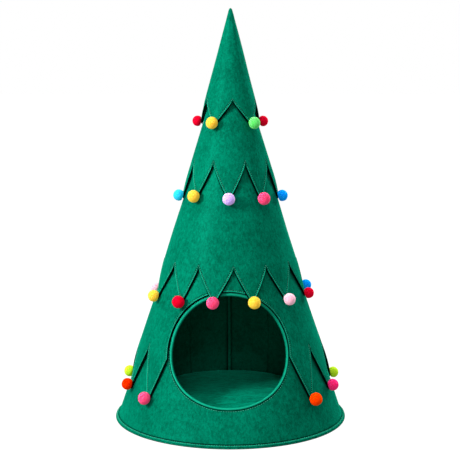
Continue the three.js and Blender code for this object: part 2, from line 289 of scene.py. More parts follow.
@dataclass(frozen=True)
class FeltFinish:
    """Needled wool-look felt: a matt cloth of short tangled fibres with no weave.

    The fibres lie in faint clumps, which the eye reads as a fine mottle, and their loose ends
    give the surface a soft paler sheen where it turns away.
    """

    name: str
    colour: int
    deep: int  # the colour between the clumps
    glow: int  # the colour of the loose fibres against the light
    painted_highlight_colour: int = 0x18B892  # painted highlight: the paler colour painted on a stretched, turned lip where light catches it
    shade: int = 0x000A06  # painted shade: the dark colour painted in seams, creases, cut edges and gaps
    clump: float = 4.2  # mm, the mottle that shows from a step away
    fibre: float = 1.9  # mm, coarser than real fibres so that it shows
    drift: float = 45.0  # mm, slow changes of tone
    stretch: tuple[float, float, float] = (1.0, 1.0, 0.55)  # draws the clumps out upwards
    clump_twist: float = 0.8
    fibre_twist: float = 1.5
    fibre_share: float = 0.55  # of the fibres against the clumps, in the mottle and the relief
    drift_share: float = 0.18  # of the slow changes in the mottle
    noise_detail: float = 2.0  # finer copies of a noise laid over it
    noise_rough: float = 0.6  # how much each of them counts
    noise_band: tuple[float, float] = (0.40, 0.60)  # where most of a noise lies
    contrast: float = 0.9
    relief: float = 0.5  # mm, height of the fibre relief
    relief_share: float = 0.7  # how far the relief shades
    rough: float = 0.95
    sheen: float = 0.35
    spread: float = 0.35  # how far round the sheen reaches
    soft: float = 0.0  # share of the light that passes through the fibres
    scatter: float = 3.2  # mm that it goes in them
    lustre: float = 0.0  # share of the light that the brushed fibres throw back off their sides
    lustre_spread: float = 0.42  # how far that light spreads
    sewn: bool = False  # painted shade in its seams, creases, cut edges and gaps, and painted highlight on its turned lips
    painted_glow: float = 0.0  # painted glow: light that the ball gives off in its own deep colour, brightening its shadow side

    def material(self) -> bpy.types.Material:
        """Returns the finish as a node material on Object coordinates.

        The tone runs from deep to colour with a mottle of clumps, fibres and slow drifts, and
        the clumps and fibres make the relief.
        """
        material, tree = empty_material(self.name)
        place = add_node(tree, "ShaderNodeTexCoord").outputs["Object"]
        pulled = add_node(tree, "ShaderNodeMapping", Vector=place,
                          Scale=self.stretch).outputs["Vector"]
        noises = ((pulled, self.clump, self.clump_twist), (pulled, self.fibre, self.fibre_twist),
                  (place, self.drift, 0.0))
        clumps, fibres, drifts = [
            add_node(tree, "ShaderNodeTexNoise", Vector=where, Scale=grain(size),
                     Detail=self.noise_detail, Roughness=self.noise_rough,
                     Distortion=twist).outputs["Fac"]
            for where, size, twist in noises]
        height = add_node(tree, "ShaderNodeMix", {"data_type": "FLOAT"}, _0=self.fibre_share,
                          _2=clumps, _3=fibres).outputs[0]
        mottle = add_node(tree, "ShaderNodeMix", {"data_type": "FLOAT"}, _0=self.drift_share,
                          _2=height, _3=drifts).outputs[0]
        half = 0.5 - 0.5 * self.contrast
        low, high = self.noise_band
        share = add_node(tree, "ShaderNodeMapRange", Value=mottle, From_Min=low, From_Max=high,
                         To_Min=half, To_Max=1 - half).outputs["Result"]
        tone = add_node(tree, "ShaderNodeMix", {"data_type": "RGBA"}, _0=share,
                        _6=linear(self.deep), _7=linear(self.colour)).outputs[2]
        sheen, lustre = self.sheen, self.lustre
        # Sewn felt gets painted shade and painted highlight, and its sheen and lustre fade in the
        # painted shade
        if self.sewn:
            tone, clear_of_painted_shade = self.seams(tree, tone)
            sheen, lustre = [add_node(tree, "ShaderNodeMath", {"operation": "MULTIPLY"}, _0=clear_of_painted_shade,
                                      _1=weight).outputs["Value"] for weight in (sheen, lustre)]
        bump = add_node(tree, "ShaderNodeBump", Strength=self.relief_share,
                        Distance=self.relief * MM, Height=height).outputs["Normal"]
        # Emission_Strength is a painted glow, none on the tent's own felt
        surface = add_node(tree, "ShaderNodeBsdfPrincipled", Base_Color=tone,
                           Roughness=self.rough, Specular_IOR_Level=0.0, Sheen_Weight=sheen,
                           Sheen_Roughness=self.spread, Sheen_Tint=linear(self.glow),
                           Normal=bump, Subsurface_Weight=self.soft,
                           Subsurface_Radius=(1.0, 1.0, 1.0),
                           Subsurface_Scale=self.scatter * MM,
                           Emission_Color=linear(self.deep),
                           Emission_Strength=self.painted_glow).outputs["BSDF"]
        if self.lustre:
            gloss = add_node(tree, "ShaderNodeBsdfAnisotropic", Color=linear(self.glow),
                             Roughness=self.lustre_spread, Normal=bump).outputs["BSDF"]
            surface = add_node(tree, "ShaderNodeMixShader", _0=lustre, _1=surface,
                               _2=gloss).outputs["Shader"]
        add_node(tree, "ShaderNodeOutputMaterial", Surface=surface)
        return material

    def seams(self, tree: bpy.types.NodeTree, tone: bpy.types.NodeSocket) -> tuple[
            bpy.types.NodeSocket, bpy.types.NodeSocket]:
        """Paints shade into the felt's seams, creases, cut edges and gaps and paints highlight on
        its lips.

        Args:
            tree: The material's nodes.
            tone: The felt's own colour.

        Returns:
            The colour, and how far the felt is clear of painted shade, as sockets.
        """
        pressed = add_node(tree, "ShaderNodeAttribute",
                           {"attribute_name": "pressed"}).outputs["Fac"]
        highlight_share = add_node(tree, "ShaderNodeMapRange", Value=pressed, From_Min=0.0,
                          From_Max=-1.0).outputs["Result"]
        clear_of_painted_shade = add_node(tree, "ShaderNodeMapRange", Value=pressed, To_Min=1.0,
                        To_Max=0.0).outputs["Result"]
        for share, colour in ((highlight_share, self.painted_highlight_colour), (pressed, self.shade)):
            tone = add_node(tree, "ShaderNodeMix", {"data_type": "RGBA"}, _0=share, _6=tone,
                            _7=linear(colour)).outputs[2]
        return tone, clear_of_painted_shade


@dataclass(frozen=True)
class ThreadFinish:
    """Spun polyester sewing thread: fine, hard and a little glossy, paler than the felt."""

    name: str
    colour: int
    twist: float = 0.8  # mm, size of the bands that the twisted yarn shows
    detail: float = 1.0  # finer bands laid over them
    bands: tuple[float, float] = (0.8, 1.15)  # how dark and how bright they are
    pallor: float = 0.9  # share of the colour's saturation
    rough: float = 0.7
    gloss: float = 0.15

    def material(self) -> bpy.types.Material:
        """Returns the finish as a node material with the twist of the yarn as fine bands."""
        material, tree = empty_material(self.name)
        place = add_node(tree, "ShaderNodeTexCoord").outputs["Object"]
        twist = add_node(tree, "ShaderNodeTexNoise", Vector=place, Scale=grain(self.twist),
                         Detail=self.detail).outputs["Fac"]
        dark, bright = self.bands
        share = add_node(tree, "ShaderNodeMapRange", Value=twist, To_Min=dark,
                         To_Max=bright).outputs["Result"]
        tone = add_node(tree, "ShaderNodeHueSaturation", Value=share, Saturation=self.pallor,
                        Color=linear(self.colour)).outputs["Color"]
        shader = add_node(tree, "ShaderNodeBsdfPrincipled", Base_Color=tone,
                          Roughness=self.rough, Specular_IOR_Level=self.gloss)
        add_node(tree, "ShaderNodeOutputMaterial", Surface=shader.outputs["BSDF"])
        return material


class Finish(Enum):
    """The finishes that the tent is made in."""

    FELT = FeltFinish("pressed_felt", 0x007E60, 0x004E39, 0x20E8BC, sheen=0.38, lustre=0.013,
                      sewn=True)
    TAPE = FeltFinish("pressed_felt_tape", 0x008C6C, 0x00624A, 0x20E8BC, clump=3.0)
    # Paler than the wall's felt: brushed pile, and painted light for the cushion lit through the
    # doorway
    PILE = FeltFinish("brushed_felt", 0x008F6E, 0x004E3A, 0x20E8BC, clump=4.5,
                      stretch=(0.25, 1.0, 1.0), relief=0.8, contrast=1.0)
    THREAD = ThreadFinish("sewing_thread", 0x36B294)


class Ball(Enum):
    """Colours of the felted wool balls, each with the deeper tone between its fibres, also the
    colour of its painted glow.
    """

    CRIMSON = (0xDA082F, 0xD00422)
    YELLOW = (0xEBCB56, 0xF5C02E)
    LEAF = (0x7ADC76, 0x50D064)
    CYAN = (0x42C4E3, 0x08BAE2)
    LILAC = (0xD1B8EB, 0xC8A6F5)
    ROSE = (0xED608D, 0xF83A6A)
    BLUE = (0x0FA2F7, 0x0490F3)
    BLUSH = (0xEBC2CE, 0xF5B6C8)
    MAGENTA = (0xFC3B84, 0xFC2272)
    ORANGE = (0xEF4600, 0xFC3800)
    EMBER = (0xE93100, 0xE42000)
    LIME = (0xBEDE35, 0xAEDA20)


class Wardrobe:
    """Makes each material once and hands it out."""

    def __init__(self) -> None:
        """Starts with nothing made."""
        self._made: dict[str, bpy.types.Material] = {}

    def finish(self, finish: FeltFinish | ThreadFinish) -> bpy.types.Material:
        """Hands out a finish's material, made on first use.

        Args:
            finish: The finish.

        Returns:
            The material.
        """
        if finish.name not in self._made:
            self._made[finish.name] = finish.material()
        return self._made[finish.name]

    def ball(self, ball: Ball) -> bpy.types.Material:
        """Hands out the material of one colour of felted wool ball.

        Args:
            ball: The colour.

        Returns:
            The material.
        """
        bright, deep = ball.value
        # Each ball has a painted glow in its deep colour, which lifts the side away from the lights
        return self.finish(FeltFinish(f"wool_ball_{ball.name.lower()}", bright, deep, bright,
                                      clump=3.2, fibre=1.2, drift=14.0, relief=0.05,
                                      soft=1.0, contrast=0.15, painted_glow=0.22,
                                      stretch=(1.0, 1.0, 1.0)))


def dress(piece: bpy.types.Object, material: bpy.types.Material,
          nodes: Sequence[str] = ()) -> bpy.types.Object:
    """Gives a piece its material, its body and the nodes that it stands for.

    Args:
        piece: The piece.
        material: Its material.
        nodes: The CAD nodes that it replaces.

    Returns:
        The piece.
    """
    piece.data.materials.clear()
    piece.data.materials.append(material)
    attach(piece, "root")
    if nodes:
        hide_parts(*nodes)
    return piece


# The wall


class Cone:
    """Felt rolled to a cone: its outer face has a slope and a radius at each height."""

    slope: float  # how much the radius shrinks for each millimetre up

    @property
    def tilt(self) -> float:
        """The cone's lean from upright, in radians."""
        return math.atan(self.slope)

    @property
    def level_thickness(self) -> float:
        """The felt's thickness measured level through the leaning sheet."""
        return FELT * math.hypot(1.0, self.slope)

    def radius(self, height: Numbers) -> np.ndarray:
        """Returns the outer face's radius at a height."""
        raise NotImplementedError

    def face(self, azimuth: Numbers, height: Numbers, depth: Numbers) -> np.ndarray:
        """Returns points under the outer face, square to it.

        Args:
            azimuth: Degrees round from the doorway.
            height: Height of the point of the outer face that each one is under.
            depth: How far under it, 3 mm on the inner face.

        Returns:
            The points.
        """
        radius = self.radius(height) + ripple(azimuth, height) - depth * math.cos(self.tilt)
        return around(np.maximum(radius, LEAST_RADIUS), azimuth,
                      height - depth * math.sin(self.tilt))


@dataclass(frozen=True)
class Doorway:
    """An ellipse in a cone's flat cut, which reads as a circle once the cone is rolled."""

    azimuth: float
    height: float
    half_width: float
    half_height: float


@dataclass
class Wall(Cone):
    """The inner felt cone with its round doorway and its foot turned out as a hem."""

    heights: tuple[float, ...] = (0.0, 330.0, 480.0, 592.0, 682.0, 685.6)
    radii: tuple[float, ...] = (196.0, 84.3, 44.8, 17.1, 3.0, 0.0)  # of the outer face there
    door: Doorway = Doorway(-1.0, 146.3, 101.3, 90.6)
    crease_azimuths: tuple[float, ...] = (153.0, 209.0)
    crease_slants: tuple[float, ...] = (-0.055, 0.06)  # degrees each millimetre up
    crease_middle: float = 115.0  # height where each one is at its own azimuth
    crease_run: tuple[float, float] = (14.0, 250.0)  # heights between which they slant
    crease_ease: float = 18.0  # height over which the slant sets in
    crease_spread: float = 12.0  # degrees beside a crease that slant along with it
    crease_depth: float = 0.7
    crease_width: float = 1.8
    crease_columns: int = 5  # over it
    crease_bell: float = 0.45  # share of the width at which it is about a third as deep
    crease_shade: float = 0.5  # how much painted shade it gets along its crease
    seam_at: float = 180.8  # azimuth of the back seam's middle
    seam_half: float = 2.75  # from there to the line of painted shade on each side of the back seam
    seam_soft: float = 1.2  # half the width of that line
    seam_step: float = 0.9  # between the columns over it
    middle_radius: float = 150.0  # the wall's half way up the doorway, to turn mm into degrees
    # Azimuths and heights between which the doorway's own grid takes the place of the wall's
    window: tuple[float, float, float, float] = (-50.0, 48.0, 36.0, 262.0)
    column_step: float = 2.0
    row_runs: Rows = ((14.0, 330.0, 6.0), (334.0, 676.0, 18.0))  # start, end and step of heights
    inside_tip: float = 676.0
    # Rows of the hem from inside the foot, out along the underside, round the lip and up to the
    # wall: radius, height, and painted shade (positive, underneath and in the seam) and painted
    # highlight (negative, on the lip).
    hem: Rows = (
        (191.7, 3.3, 0.0), (196.0, 3.3, 0.6), (198.6, 3.3, 0.9), (199.2, 3.4, 0.6),
        (199.4, 3.75, 0.0), (199.15, 4.2, -0.1), (198.4, 4.75, -0.15), (197.4, 5.25, -0.15),
        (196.5, 5.5, -0.1), (195.9, 5.45, 0.3), (195.3, 5.25, 1.0), (194.7, 5.4, 1.0),
        (194.3, 6.1, 0.9), (193.95, 7.0, 0.1), (193.2, 9.2, 0.0), (192.3, 11.6, 0.0),
    )
    # Rows of the doorway's rim from the outer face, down to its seam, up over its flared lip and
    # round
    # to the inner face: how far in from the opening's edge, how deep, and painted shade (positive,
    # in the seam and on the inner cut edge) and painted highlight (negative, on the lip).
    rim: Rows = (
        (12.0, 0.0, 0.0), (10.2, 0.02, 0.1), (8.4, 0.1, 0.35), (7.2, 0.3, 0.45),
        (6.6, 1.0, 1.0), (5.9, 1.05, 1.0), (5.4, 0.4, 0.3), (4.8, -0.5, -0.3),
        (3.8, -1.3, -0.5), (2.7, -1.6, -0.6), (1.6, -1.35, -0.6), (0.7, -0.6, -0.4),
        (0.12, 0.5, -0.1), (0.0, 1.5, 0.0), (0.2, 2.3, 0.3), (0.8, 2.85, 0.7),
        (2.0, 3.0, 0.5), (4.0, 3.0, 0.1), (7.0, 3.0, 0.0), (12.0, 3.0, 0.0),
    )
    stitch_inset: float = 5.5  # from the opening's edge
    door_sewn: tuple[float, float] = (-188.0, 8.0)  # where no tier covers the doorway's stitches
    door_points: int = 901  # on that line
    # Sine of the angle round the doorway where the tiers begin to cover the rim and where they
    # cover it all
    covered_from: tuple[float, float] = (-0.15, 0.35)
    rim_scale: tuple[float, float] = (0.74, 1.12)  # its width in the open and under a tier
    rim_reach: float = 0.6  # how far its open part leans into the opening
    rim_rows: int = 8  # between the rim and the window
    rim_crowding: float = 1.3  # crowds them towards the rim
    hem_sides: float = 0.45  # share of the hem's painted shade and highlight at the tent's sides and back, all of it at the front
    hem_top: tuple[float, float] = (7.0, 12.0)  # heights over which the wall's ripple sets in
    hem_stitch_radius: float = 197.2
    hem_stitch_height: float = 5.2
    hem_points: int = 2401  # on the hem's line of stitches
    hem_lean: float = 45.0  # degrees that the hem's stitches face upwards

    @property
    def slope(self) -> float:
        """How much the radius shrinks for each millimetre up the straight foot."""
        return (self.radii[0] - self.radii[1]) / self.heights[1]

    @property
    def apex(self) -> float:
        """Height of the point where the straight foot would meet the axis."""
        return self.radii[0] / self.slope

    def radius(self, height: Numbers) -> np.ndarray:
        """Returns the outer face's radius at a height, by straight lines between its rows."""
        return np.interp(height, self.heights, self.radii)

    def unroll(self, azimuth: Numbers, run: Numbers, door: Doorway) -> Pair:
        """Returns (across, down) on the flat cut for an azimuth and a run from the apex."""
        turn = np.radians(azimuth - door.azimuth) * math.sin(self.tilt)
        return run * np.sin(turn), run * np.cos(turn)

    def roll(self, across: Numbers, down: Numbers, door: Doorway) -> Pair:
        """Returns (azimuth, height) of points of the flat cut once it is rolled up."""
        turn = np.degrees(np.arctan2(across, down) / math.sin(self.tilt))
        return door.azimuth + turn, self.apex - np.hypot(across, down) * math.cos(self.tilt)

    def ellipse(self, door: Doorway, angle: np.ndarray, inset: Numbers) -> Pair:
        """Finds the doorway's outline on the flat cut: (a cos t, b sin t) moved out squarely.

        Args:
            door: The doorway.
            angle: The ellipse's parameter in radians, with 90 degrees at the top.
            inset: How far into the cloth from the opening's edge.

        Returns:
            (azimuth, height) on the outer face.
        """
        a, b = door.half_width, door.half_height
        centre = (self.apex - door.height) / math.cos(self.tilt)
        normal = unit(np.stack([b * np.cos(angle), a * np.sin(angle)], axis=-1))
        across = a * np.cos(angle) + inset * normal[..., 0]
        up = b * np.sin(angle) + inset * normal[..., 1]
        return self.roll(across, centre - up, door)

    def columns(self) -> np.ndarray:
        """Returns the azimuths of the columns: an even step, and more at creases and the seam."""
        even = np.arange(0.0, 360.0, self.column_step)
        width = np.degrees(self.crease_width / self.middle_radius)
        over = width * np.linspace(-1.0, 1.0, self.crease_columns)
        creases = np.array(self.crease_azimuths)[:, None] + over
        beside = self.seam_half + self.seam_step * np.array([-1.0, 0.0, 1.0])
        seam = self.seam_at + np.degrees(np.concatenate([-beside, beside]) / self.middle_radius)
        extra = np.concatenate([creases.ravel(), seam])
        clear = np.abs(even[:, None] - extra).min(axis=1) > width * self.crease_bell
        return np.sort(turned(np.concatenate([even[clear], extra]), 0.0))

    def crease(self, azimuth: np.ndarray, height: np.ndarray) -> np.ndarray:
        """Raises a soft bell of height 1 over each of the inner face's creases.

        Args:
            azimuth: Degrees round from the doorway.
            height: Height above the ground.

        Returns:
            The sum of exp(-(distance / width)^2) over the creases.
        """
        arc = np.radians(turned(azimuth[..., None], np.array(self.crease_azimuths)))
        run = arc * self.radius(height)[..., None]
        return np.exp(-(run / (self.crease_bell * self.crease_width)) ** 2).sum(axis=-1)

    def slanted(self, azimuth: np.ndarray, height: np.ndarray) -> np.ndarray:
        """Leans the inner face's columns along its creases.

        Args:
            azimuth: Degrees round from the doorway.
            height: Height above the ground.

        Returns:
            The azimuths, moved by slant * rise * exp(-(away / spread)^2) for each crease.
        """
        low, high = self.crease_run
        rise = np.clip(height, low, high) - self.crease_middle
        rise = rise * np.clip((height - low) / self.crease_ease, 0.0, 1.0)
        for middle, slant in zip(self.crease_azimuths, self.crease_slants):
            near = np.exp(-(turned(azimuth, middle) / self.crease_spread) ** 2)
            azimuth = azimuth + slant * rise * near
        return azimuth

    def window_perimeter(self, columns: np.ndarray,
                         heights: np.ndarray) -> tuple[np.ndarray, np.ndarray, np.ndarray]:
        """Finds the grid points round the window that the doorway's own grid fills.

        Args:
            columns: Azimuths of the wall's columns.
            heights: Heights of the wall's rows.

        Returns:
            The row and column numbers anticlockwise round the window, and the cells outside it.
        """
        left, right, low, high = self.window
        inside_columns = np.flatnonzero((columns >= left) & (columns <= right))
        inside_rows = np.flatnonzero((heights >= low) & (heights <= high))
        c0, c1 = inside_columns[[0, -1]]
        r0, r1 = inside_rows[[0, -1]]
        rows = np.concatenate([
            np.arange(r0, r1), np.full(c1 - c0, r1), np.arange(r1, r0, -1), np.full(c1 - c0, r0),
        ])
        cols = np.concatenate([
            np.full(r1 - r0, c1), np.arange(c1, c0, -1), np.full(r1 - r0, c0), np.arange(c0, c1),
        ])
        keep = np.ones((len(heights) - 1, len(columns)), bool)
        keep[r0:r1, c0:c1] = False
        return rows, cols, keep

    def doorway_rows(self, mesh: SheetMesh, azimuth: np.ndarray,
                     height: np.ndarray) -> np.ndarray:
        """Adds rows from the window's edge to the rim, over it and out on the inner face.

        Args:
            mesh: The mesh that takes the points.
            azimuth: The azimuths of the grid points round the window.
            height: Their heights.

        Returns:
            The new points' numbers, by row and place round the window.
        """
        left, right, low, high = self.window
        across = (azimuth - (left + right) / 2) / (right - left)
        angle = np.arctan2((height - (low + high) / 2) / (high - low), across)
        # The rim table's third column is painted shade (positive) and painted highlight (negative)
        inset, depth, pressed = np.array(self.rim).T[:, :, None]
        start, end = self.covered_from
        covered = np.clip((np.sin(angle) - start) / (end - start), 0.0, 1.0)
        open_scale, covered_scale = self.rim_scale
        inset = inset * (open_scale + (covered_scale - open_scale) * covered)
        inset = inset - self.rim_reach * (1.0 - covered)
        rim_azimuth, rim_height = self.ellipse(self.door, angle[None, :], inset)
        share = np.linspace(0.0, 1.0, self.rim_rows + 2)[1:-1, None] ** self.rim_crowding
        between_azimuth = rim_azimuth[:1] + share * (azimuth - rim_azimuth[:1])
        between_height = rim_height[:1] + share * (height - rim_height[:1])
        return np.vstack([
            mesh.points(self.face(between_azimuth[::-1], between_height[::-1], 0.0)),
            mesh.points(self.face(rim_azimuth, rim_height, depth), pressed),
            mesh.points(self.face(between_azimuth, between_height, FELT)),
        ])

    def hem_rows(self, mesh: SheetMesh, columns: np.ndarray) -> np.ndarray:
        """Adds the hem's rows.

        Args:
            mesh: The mesh that takes the points.
            columns: Azimuths of the wall's columns.

        Returns:
            The new points' numbers, by row and column.
        """
        radius, height, pressed = np.array(self.hem).T[:, :, None]
        low, high = self.hem_top
        swell = ripple(columns, height) * np.clip((height - low) / (high - low), 0.0, 1.0)
        # The hem's painted shade and highlight are strongest at the front and fade to the sides
        front = np.clip(np.cos(np.radians(columns)), 0.0, 1.0)
        pressed = pressed * (self.hem_sides + (1.0 - self.hem_sides) * front)
        return mesh.points(around(radius + swell, columns, height), pressed)

    def build(self) -> bpy.types.Object:
        """Makes the wall as one closed sheet.

        The outer and inner faces are grids of azimuth and height. Round the doorway a second grid
        runs from the window's edge to the rim, over it, and out to the window on the inner face.

        Returns:
            The wall.
        """
        columns = self.columns()
        heights = np.concatenate([np.arange(*run) for run in self.row_runs])
        azimuth, height = np.meshgrid(columns, heights)
        creased = self.crease(azimuth, height)
        # Painted shade in a line on each side of the back seam, on the inner face
        beside = np.radians(turned(azimuth, self.seam_at)) * self.middle_radius
        sewn = np.exp(-((np.abs(beside) - self.seam_half) / self.seam_soft) ** 2)
        inside = self.face(self.slanted(azimuth, height), height,
                           FELT - self.crease_depth * creased)
        mesh = SheetMesh()
        outer = mesh.points(self.face(azimuth, height, 0.0))
        # The inner face gets painted shade beside the back seam and along its creases
        inner = mesh.points(inside, np.maximum(sewn, self.crease_shade * creased))
        rows, cols, keep = self.window_perimeter(columns, heights)
        mesh.quads(outer, round_columns=True, keep=keep)
        mesh.quads(inner[::-1], round_columns=True, keep=keep[::-1])
        doorway = self.doorway_rows(mesh, columns[cols], heights[rows])
        mesh.quads(np.vstack([outer[rows, cols][None], doorway, inner[rows, cols][None]]),
                   round_columns=True)
        mesh.quads(np.vstack([inner[:1], self.hem_rows(mesh, columns), outer[:1]]),
                   round_columns=True)
        tips = np.array([[0.0, 0.0, self.heights[-1]], [0.0, 0.0, self.inside_tip]])
        top, bottom = mesh.points(tips)
        mesh.fan(outer[-1], top)
        mesh.fan(inner[-1], bottom, flip=True)
        return mesh.build("tent_wall")

    def seams(self) -> list[Pair]:
        """Returns the stitch lines round the doorway and round the hem, with their normals."""
        angle = np.radians(np.linspace(*self.door_sewn, self.door_points))
        azimuth, height = self.ellipse(self.door, angle, self.stitch_inset)
        turn = np.linspace(0.0, 360.0, self.hem_points)
        hem = around(self.hem_stitch_radius, turn, self.hem_stitch_height)
        return [(self.face(azimuth, height, 0.0), facing(azimuth, self.tilt)),
                (hem, facing(turn, math.radians(self.hem_lean)))]

    def make(self, wardrobe: Wardrobe, disc: bpy.types.Object,
             tape: bpy.types.Object) -> list[bpy.types.Object]:
        """Makes and dresses the wall and its stitches.

        Args:
            wardrobe: The materials.
            disc: The floor disc that it stands on; not used.
            tape: The tape sewn to it; not used.

        Returns:
            The stitches and the wall.
        """
        sewn = dress(Stitch(RIM_PITCH).sew("wall_stitches", self.seams()),
                     wardrobe.finish(Finish.THREAD.value))
        shell = dress(self.build(), wardrobe.finish(Finish.FELT.value), ["wall"])
        flat, area = self.flat()
        return [sewn, shell]

    def flat(self) -> tuple[tuple[float, float], float]:
        """Returns the panel's flat width and length and its area, in metres."""
        slant = (self.heights[-1] / math.cos(self.tilt)) * MM
        spread = self.radii[0] * MM / slant
        width = 2 * slant * math.sin(math.pi * spread)
        door = math.pi * self.door.half_width * self.door.half_height * MM * MM
        return (width, slant), math.pi * self.radii[0] * MM * slant - door


# The tiers


@dataclass
class Tier(Cone):
    """One zigzag tier: a felt cone cut to points at its foot, with stitches along its edge.

    Its outer face is the cone foot - slope * height. The points lean in to the layer under them
    and the hidden top edge leans in to the wall.
    """

    name: str
    foot: float  # radius that its cone would have on the ground
    slope: float
    valley: float  # height of the edge's valleys
    top: float  # height of the hidden top edge
    hang: float  # how far the points hang below their balls' middles
    points: tuple[tuple, ...]  # azimuth, height and size of the ball, its colour, next valley
    wall: Wall
    below: "Tier | None" = None
    level_run: tuple[float, float, float] | None = None  # start and end azimuths, height
    cut_out: Doorway | None = None
    edge_step: float = 4.0  # between the columns along the edge
    # Rows over the cut edge, from the outer face down to its seam, up over its flared lip and
    # under to the inner face: how far in, how deep, and painted shade (positive, in the seam, on
    # the cut face and underneath) and painted highlight (negative, on the lip).
    edge: Rows = (
        (8.0, 0.0, 0.0), (5.2, 0.02, 0.0), (4.2, 0.12, 0.0), (3.5, 0.35, 0.2),
        (2.9, 0.7, 0.8), (2.5, 0.7, 0.8), (2.15, 0.35, 0.1), (1.8, -0.1, -0.3),
        (1.4, -0.4, -0.5), (0.9, -0.45, -0.5), (0.45, -0.3, -0.3), (0.2, 0.05, 0.3),
        (0.1, 0.3, 1.0), (-0.5, 1.1, 1.0), (-1.2, 2.2, 1.0), (-1.5, 2.8, 1.0),
        (-1.2, 3.0, 1.0), (1.0, 3.0, 1.0), (3.5, 3.0, 0.9), (8.0, 3.0, 0.4),
    )
    valley_round: float = 1.25  # how far past square the rows reach above a valley
    valley_turn: float = 0.3  # sine of the least turn that makes a corner a valley
    square_run: float = 7.0  # length from a corner over which the rows come square to the edge
    valley_reach: float = 0.3  # share of the foot's reach that is left in a valley
    reach_run: float = 20.0  # height over which a whole share comes back
    notch: float = 6.0  # height under a valley over which painted shade closes over the lips
    # strength of that painted shade just under a valley
    notch_shade: float = 0.95
    lip: tuple[float, float] = (1.2, 2.4)  # how far in from the edge that painted shade fades
    # How far out an edge point is over the cut-out and clear of it, with 1 on its outline
    cut_margin: tuple[float, float] = (1.03, 1.08)
    lean_power: float = 1.5  # how late the points lean in
    arch_points: int = 61  # on the edge over the doorway
    search_points: int = 2001  # tried to find where that edge starts and ends
    # Weights of a step's degrees and of its height in how far the columns over the doorway fan out
    fan: tuple[float, float] = (2.2, 0.32)
    rows_up: int = 26  # from the edge's rows to the top edge
    crowding: float = 1.25  # crowds them towards the edge
    inside_step: int = 3  # the inner face has every third of them
    stitch_step: float = 0.5
    stitch_depth: float = 0.55
    # Rows over the tip of the tree: height and radius
    tip_rows: Rows = (
        (690.0, 5.04), (694.0, 3.98), (697.0, 3.15), (699.0, 2.3), (700.1, 1.25), (700.45, 0.5),
    )
    tip_height: float = 700.5
    inside_tip: float = 686.0

    @property
    def lowest(self) -> float:
        """Height of the lowest point's tip."""
        return min(point[1] for point in self.points) - self.hang

    def under(self, height: Numbers) -> np.ndarray:
        """Finds the radius of the face that this tier hangs over.

        Args:
            height: Height above the ground.

        Returns:
            The wall's radius there, or the lower tier's cone foot - slope * height.
        """
        if self.below is None:
            return self.wall.radius(height)
        return self.below.foot - self.below.slope * height

    def radius(self, height: Numbers) -> np.ndarray:
        """Finds the outer face's radius: the cone, eased in at the points and at the top.

        Below the valleys it goes from the cone to where the sheet rests on the layer under it,
        by the height's share of the drop to a power. Close to the top edge it goes evenly to
        where the sheet is sewn to the wall.

        Args:
            height: Height above the ground.

        Returns:
            The radius.
        """
        cone = self.foot - self.slope * height
        drop = np.clip((self.valley - height) / (self.valley - self.lowest), 0.0, 1.0)
        resting = self.under(height) + POINT_GAP + self.level_thickness
        leaned = cone + (np.minimum(cone, resting) - cone) * drop ** self.lean_power
        if self.is_top:
            return leaned
        climb = np.clip((height - self.top + SEWN_RUN) / SEWN_RUN, 0.0, 1.0)
        sewn = self.wall.radius(height) + 2 * TOUCH + self.level_thickness
        return leaned + (np.minimum(cone, sewn) - cone) * climb * (drop == 0.0)

    @property
    def is_top(self) -> bool:
        """Whether this tier closes over the tip of the tree."""
        return self.top > self.inside_tip

    def carried(self, azimuth: np.ndarray, height: np.ndarray) -> np.ndarray:
        """Finds where a cut square to the wall comes out of this tier.

        Args:
            azimuth: Degrees round from the doorway.
            height: Height above the ground.

        Returns:
            The heights of the same cut on this tier: its line square to the wall meets the cone
            foot - slope * height.
        """
        lean, run = self.wall.tilt, (self.wall.apex - height) / math.cos(self.wall.tilt)
        reach = self.foot - self.slope * height - run * math.sin(lean)
        return height + reach / (math.cos(lean) + self.slope * math.sin(lean)) * math.sin(lean)

    def inside_cut(self, azimuth: np.ndarray, height: np.ndarray) -> Pair:
        """Measures points of the outer face against the cut-out.

        Args:
            azimuth: Degrees round from the doorway.
            height: Height above the ground.

        Returns:
            How far out each one is, with 1 on the outline, and its angle round the ellipse.
        """
        lean, door = self.wall.tilt, self.cut_out
        radius = self.foot - self.slope * height
        run = radius * math.sin(lean) + (self.wall.apex - height) * math.cos(lean)
        across, down = self.wall.unroll(azimuth, run, door)
        side = across / door.half_width
        up = ((self.wall.apex - door.height) / math.cos(lean) - down) / door.half_height
        return np.hypot(side, up), np.arctan2(up, side)

    def corners(self) -> np.ndarray:
        """Returns the edge's corners once round: rows of azimuth and height, in order."""
        rows = [[(azimuth, height - self.hang), (valley, self.valley)]
                for azimuth, height, _, _, valley in self.points]
        corners = np.array(rows).reshape(-1, 2)
        if not self.level_run:
            return corners
        last, first = corners[-2] - (360.0, 0.0), corners[0]
        return np.vstack([last, self.arch(last, first), corners[:-2]])

    def arch(self, last: np.ndarray, first: np.ndarray) -> np.ndarray:
        """Returns the edge over the doorway, from one cut-off slope to the other.

        Args:
            last: The tip before the doorway.
            first: The tip after it.

        Returns:
            Rows of azimuth and height along the cut-out's upper outline.
        """
        start, end, level = self.level_run
        share = np.linspace(0.0, 1.0, self.search_points)[:, None]
        angles = []
        for tip, corner in ((last, (start, level)), (first, (end, level))):
            line = tip + share * (np.array(corner) - tip)
            out, angle = self.inside_cut(line[:, 0], line[:, 1])
            angles.append(float(angle[np.argmin(np.abs(out - 1.0))]))
        sweep = np.linspace(angles[0] % (2 * math.pi), angles[1], self.arch_points)
        azimuth, height = self.wall.ellipse(self.cut_out, sweep, 0.0)
        return np.stack([azimuth, self.carried(azimuth, height)], axis=-1)

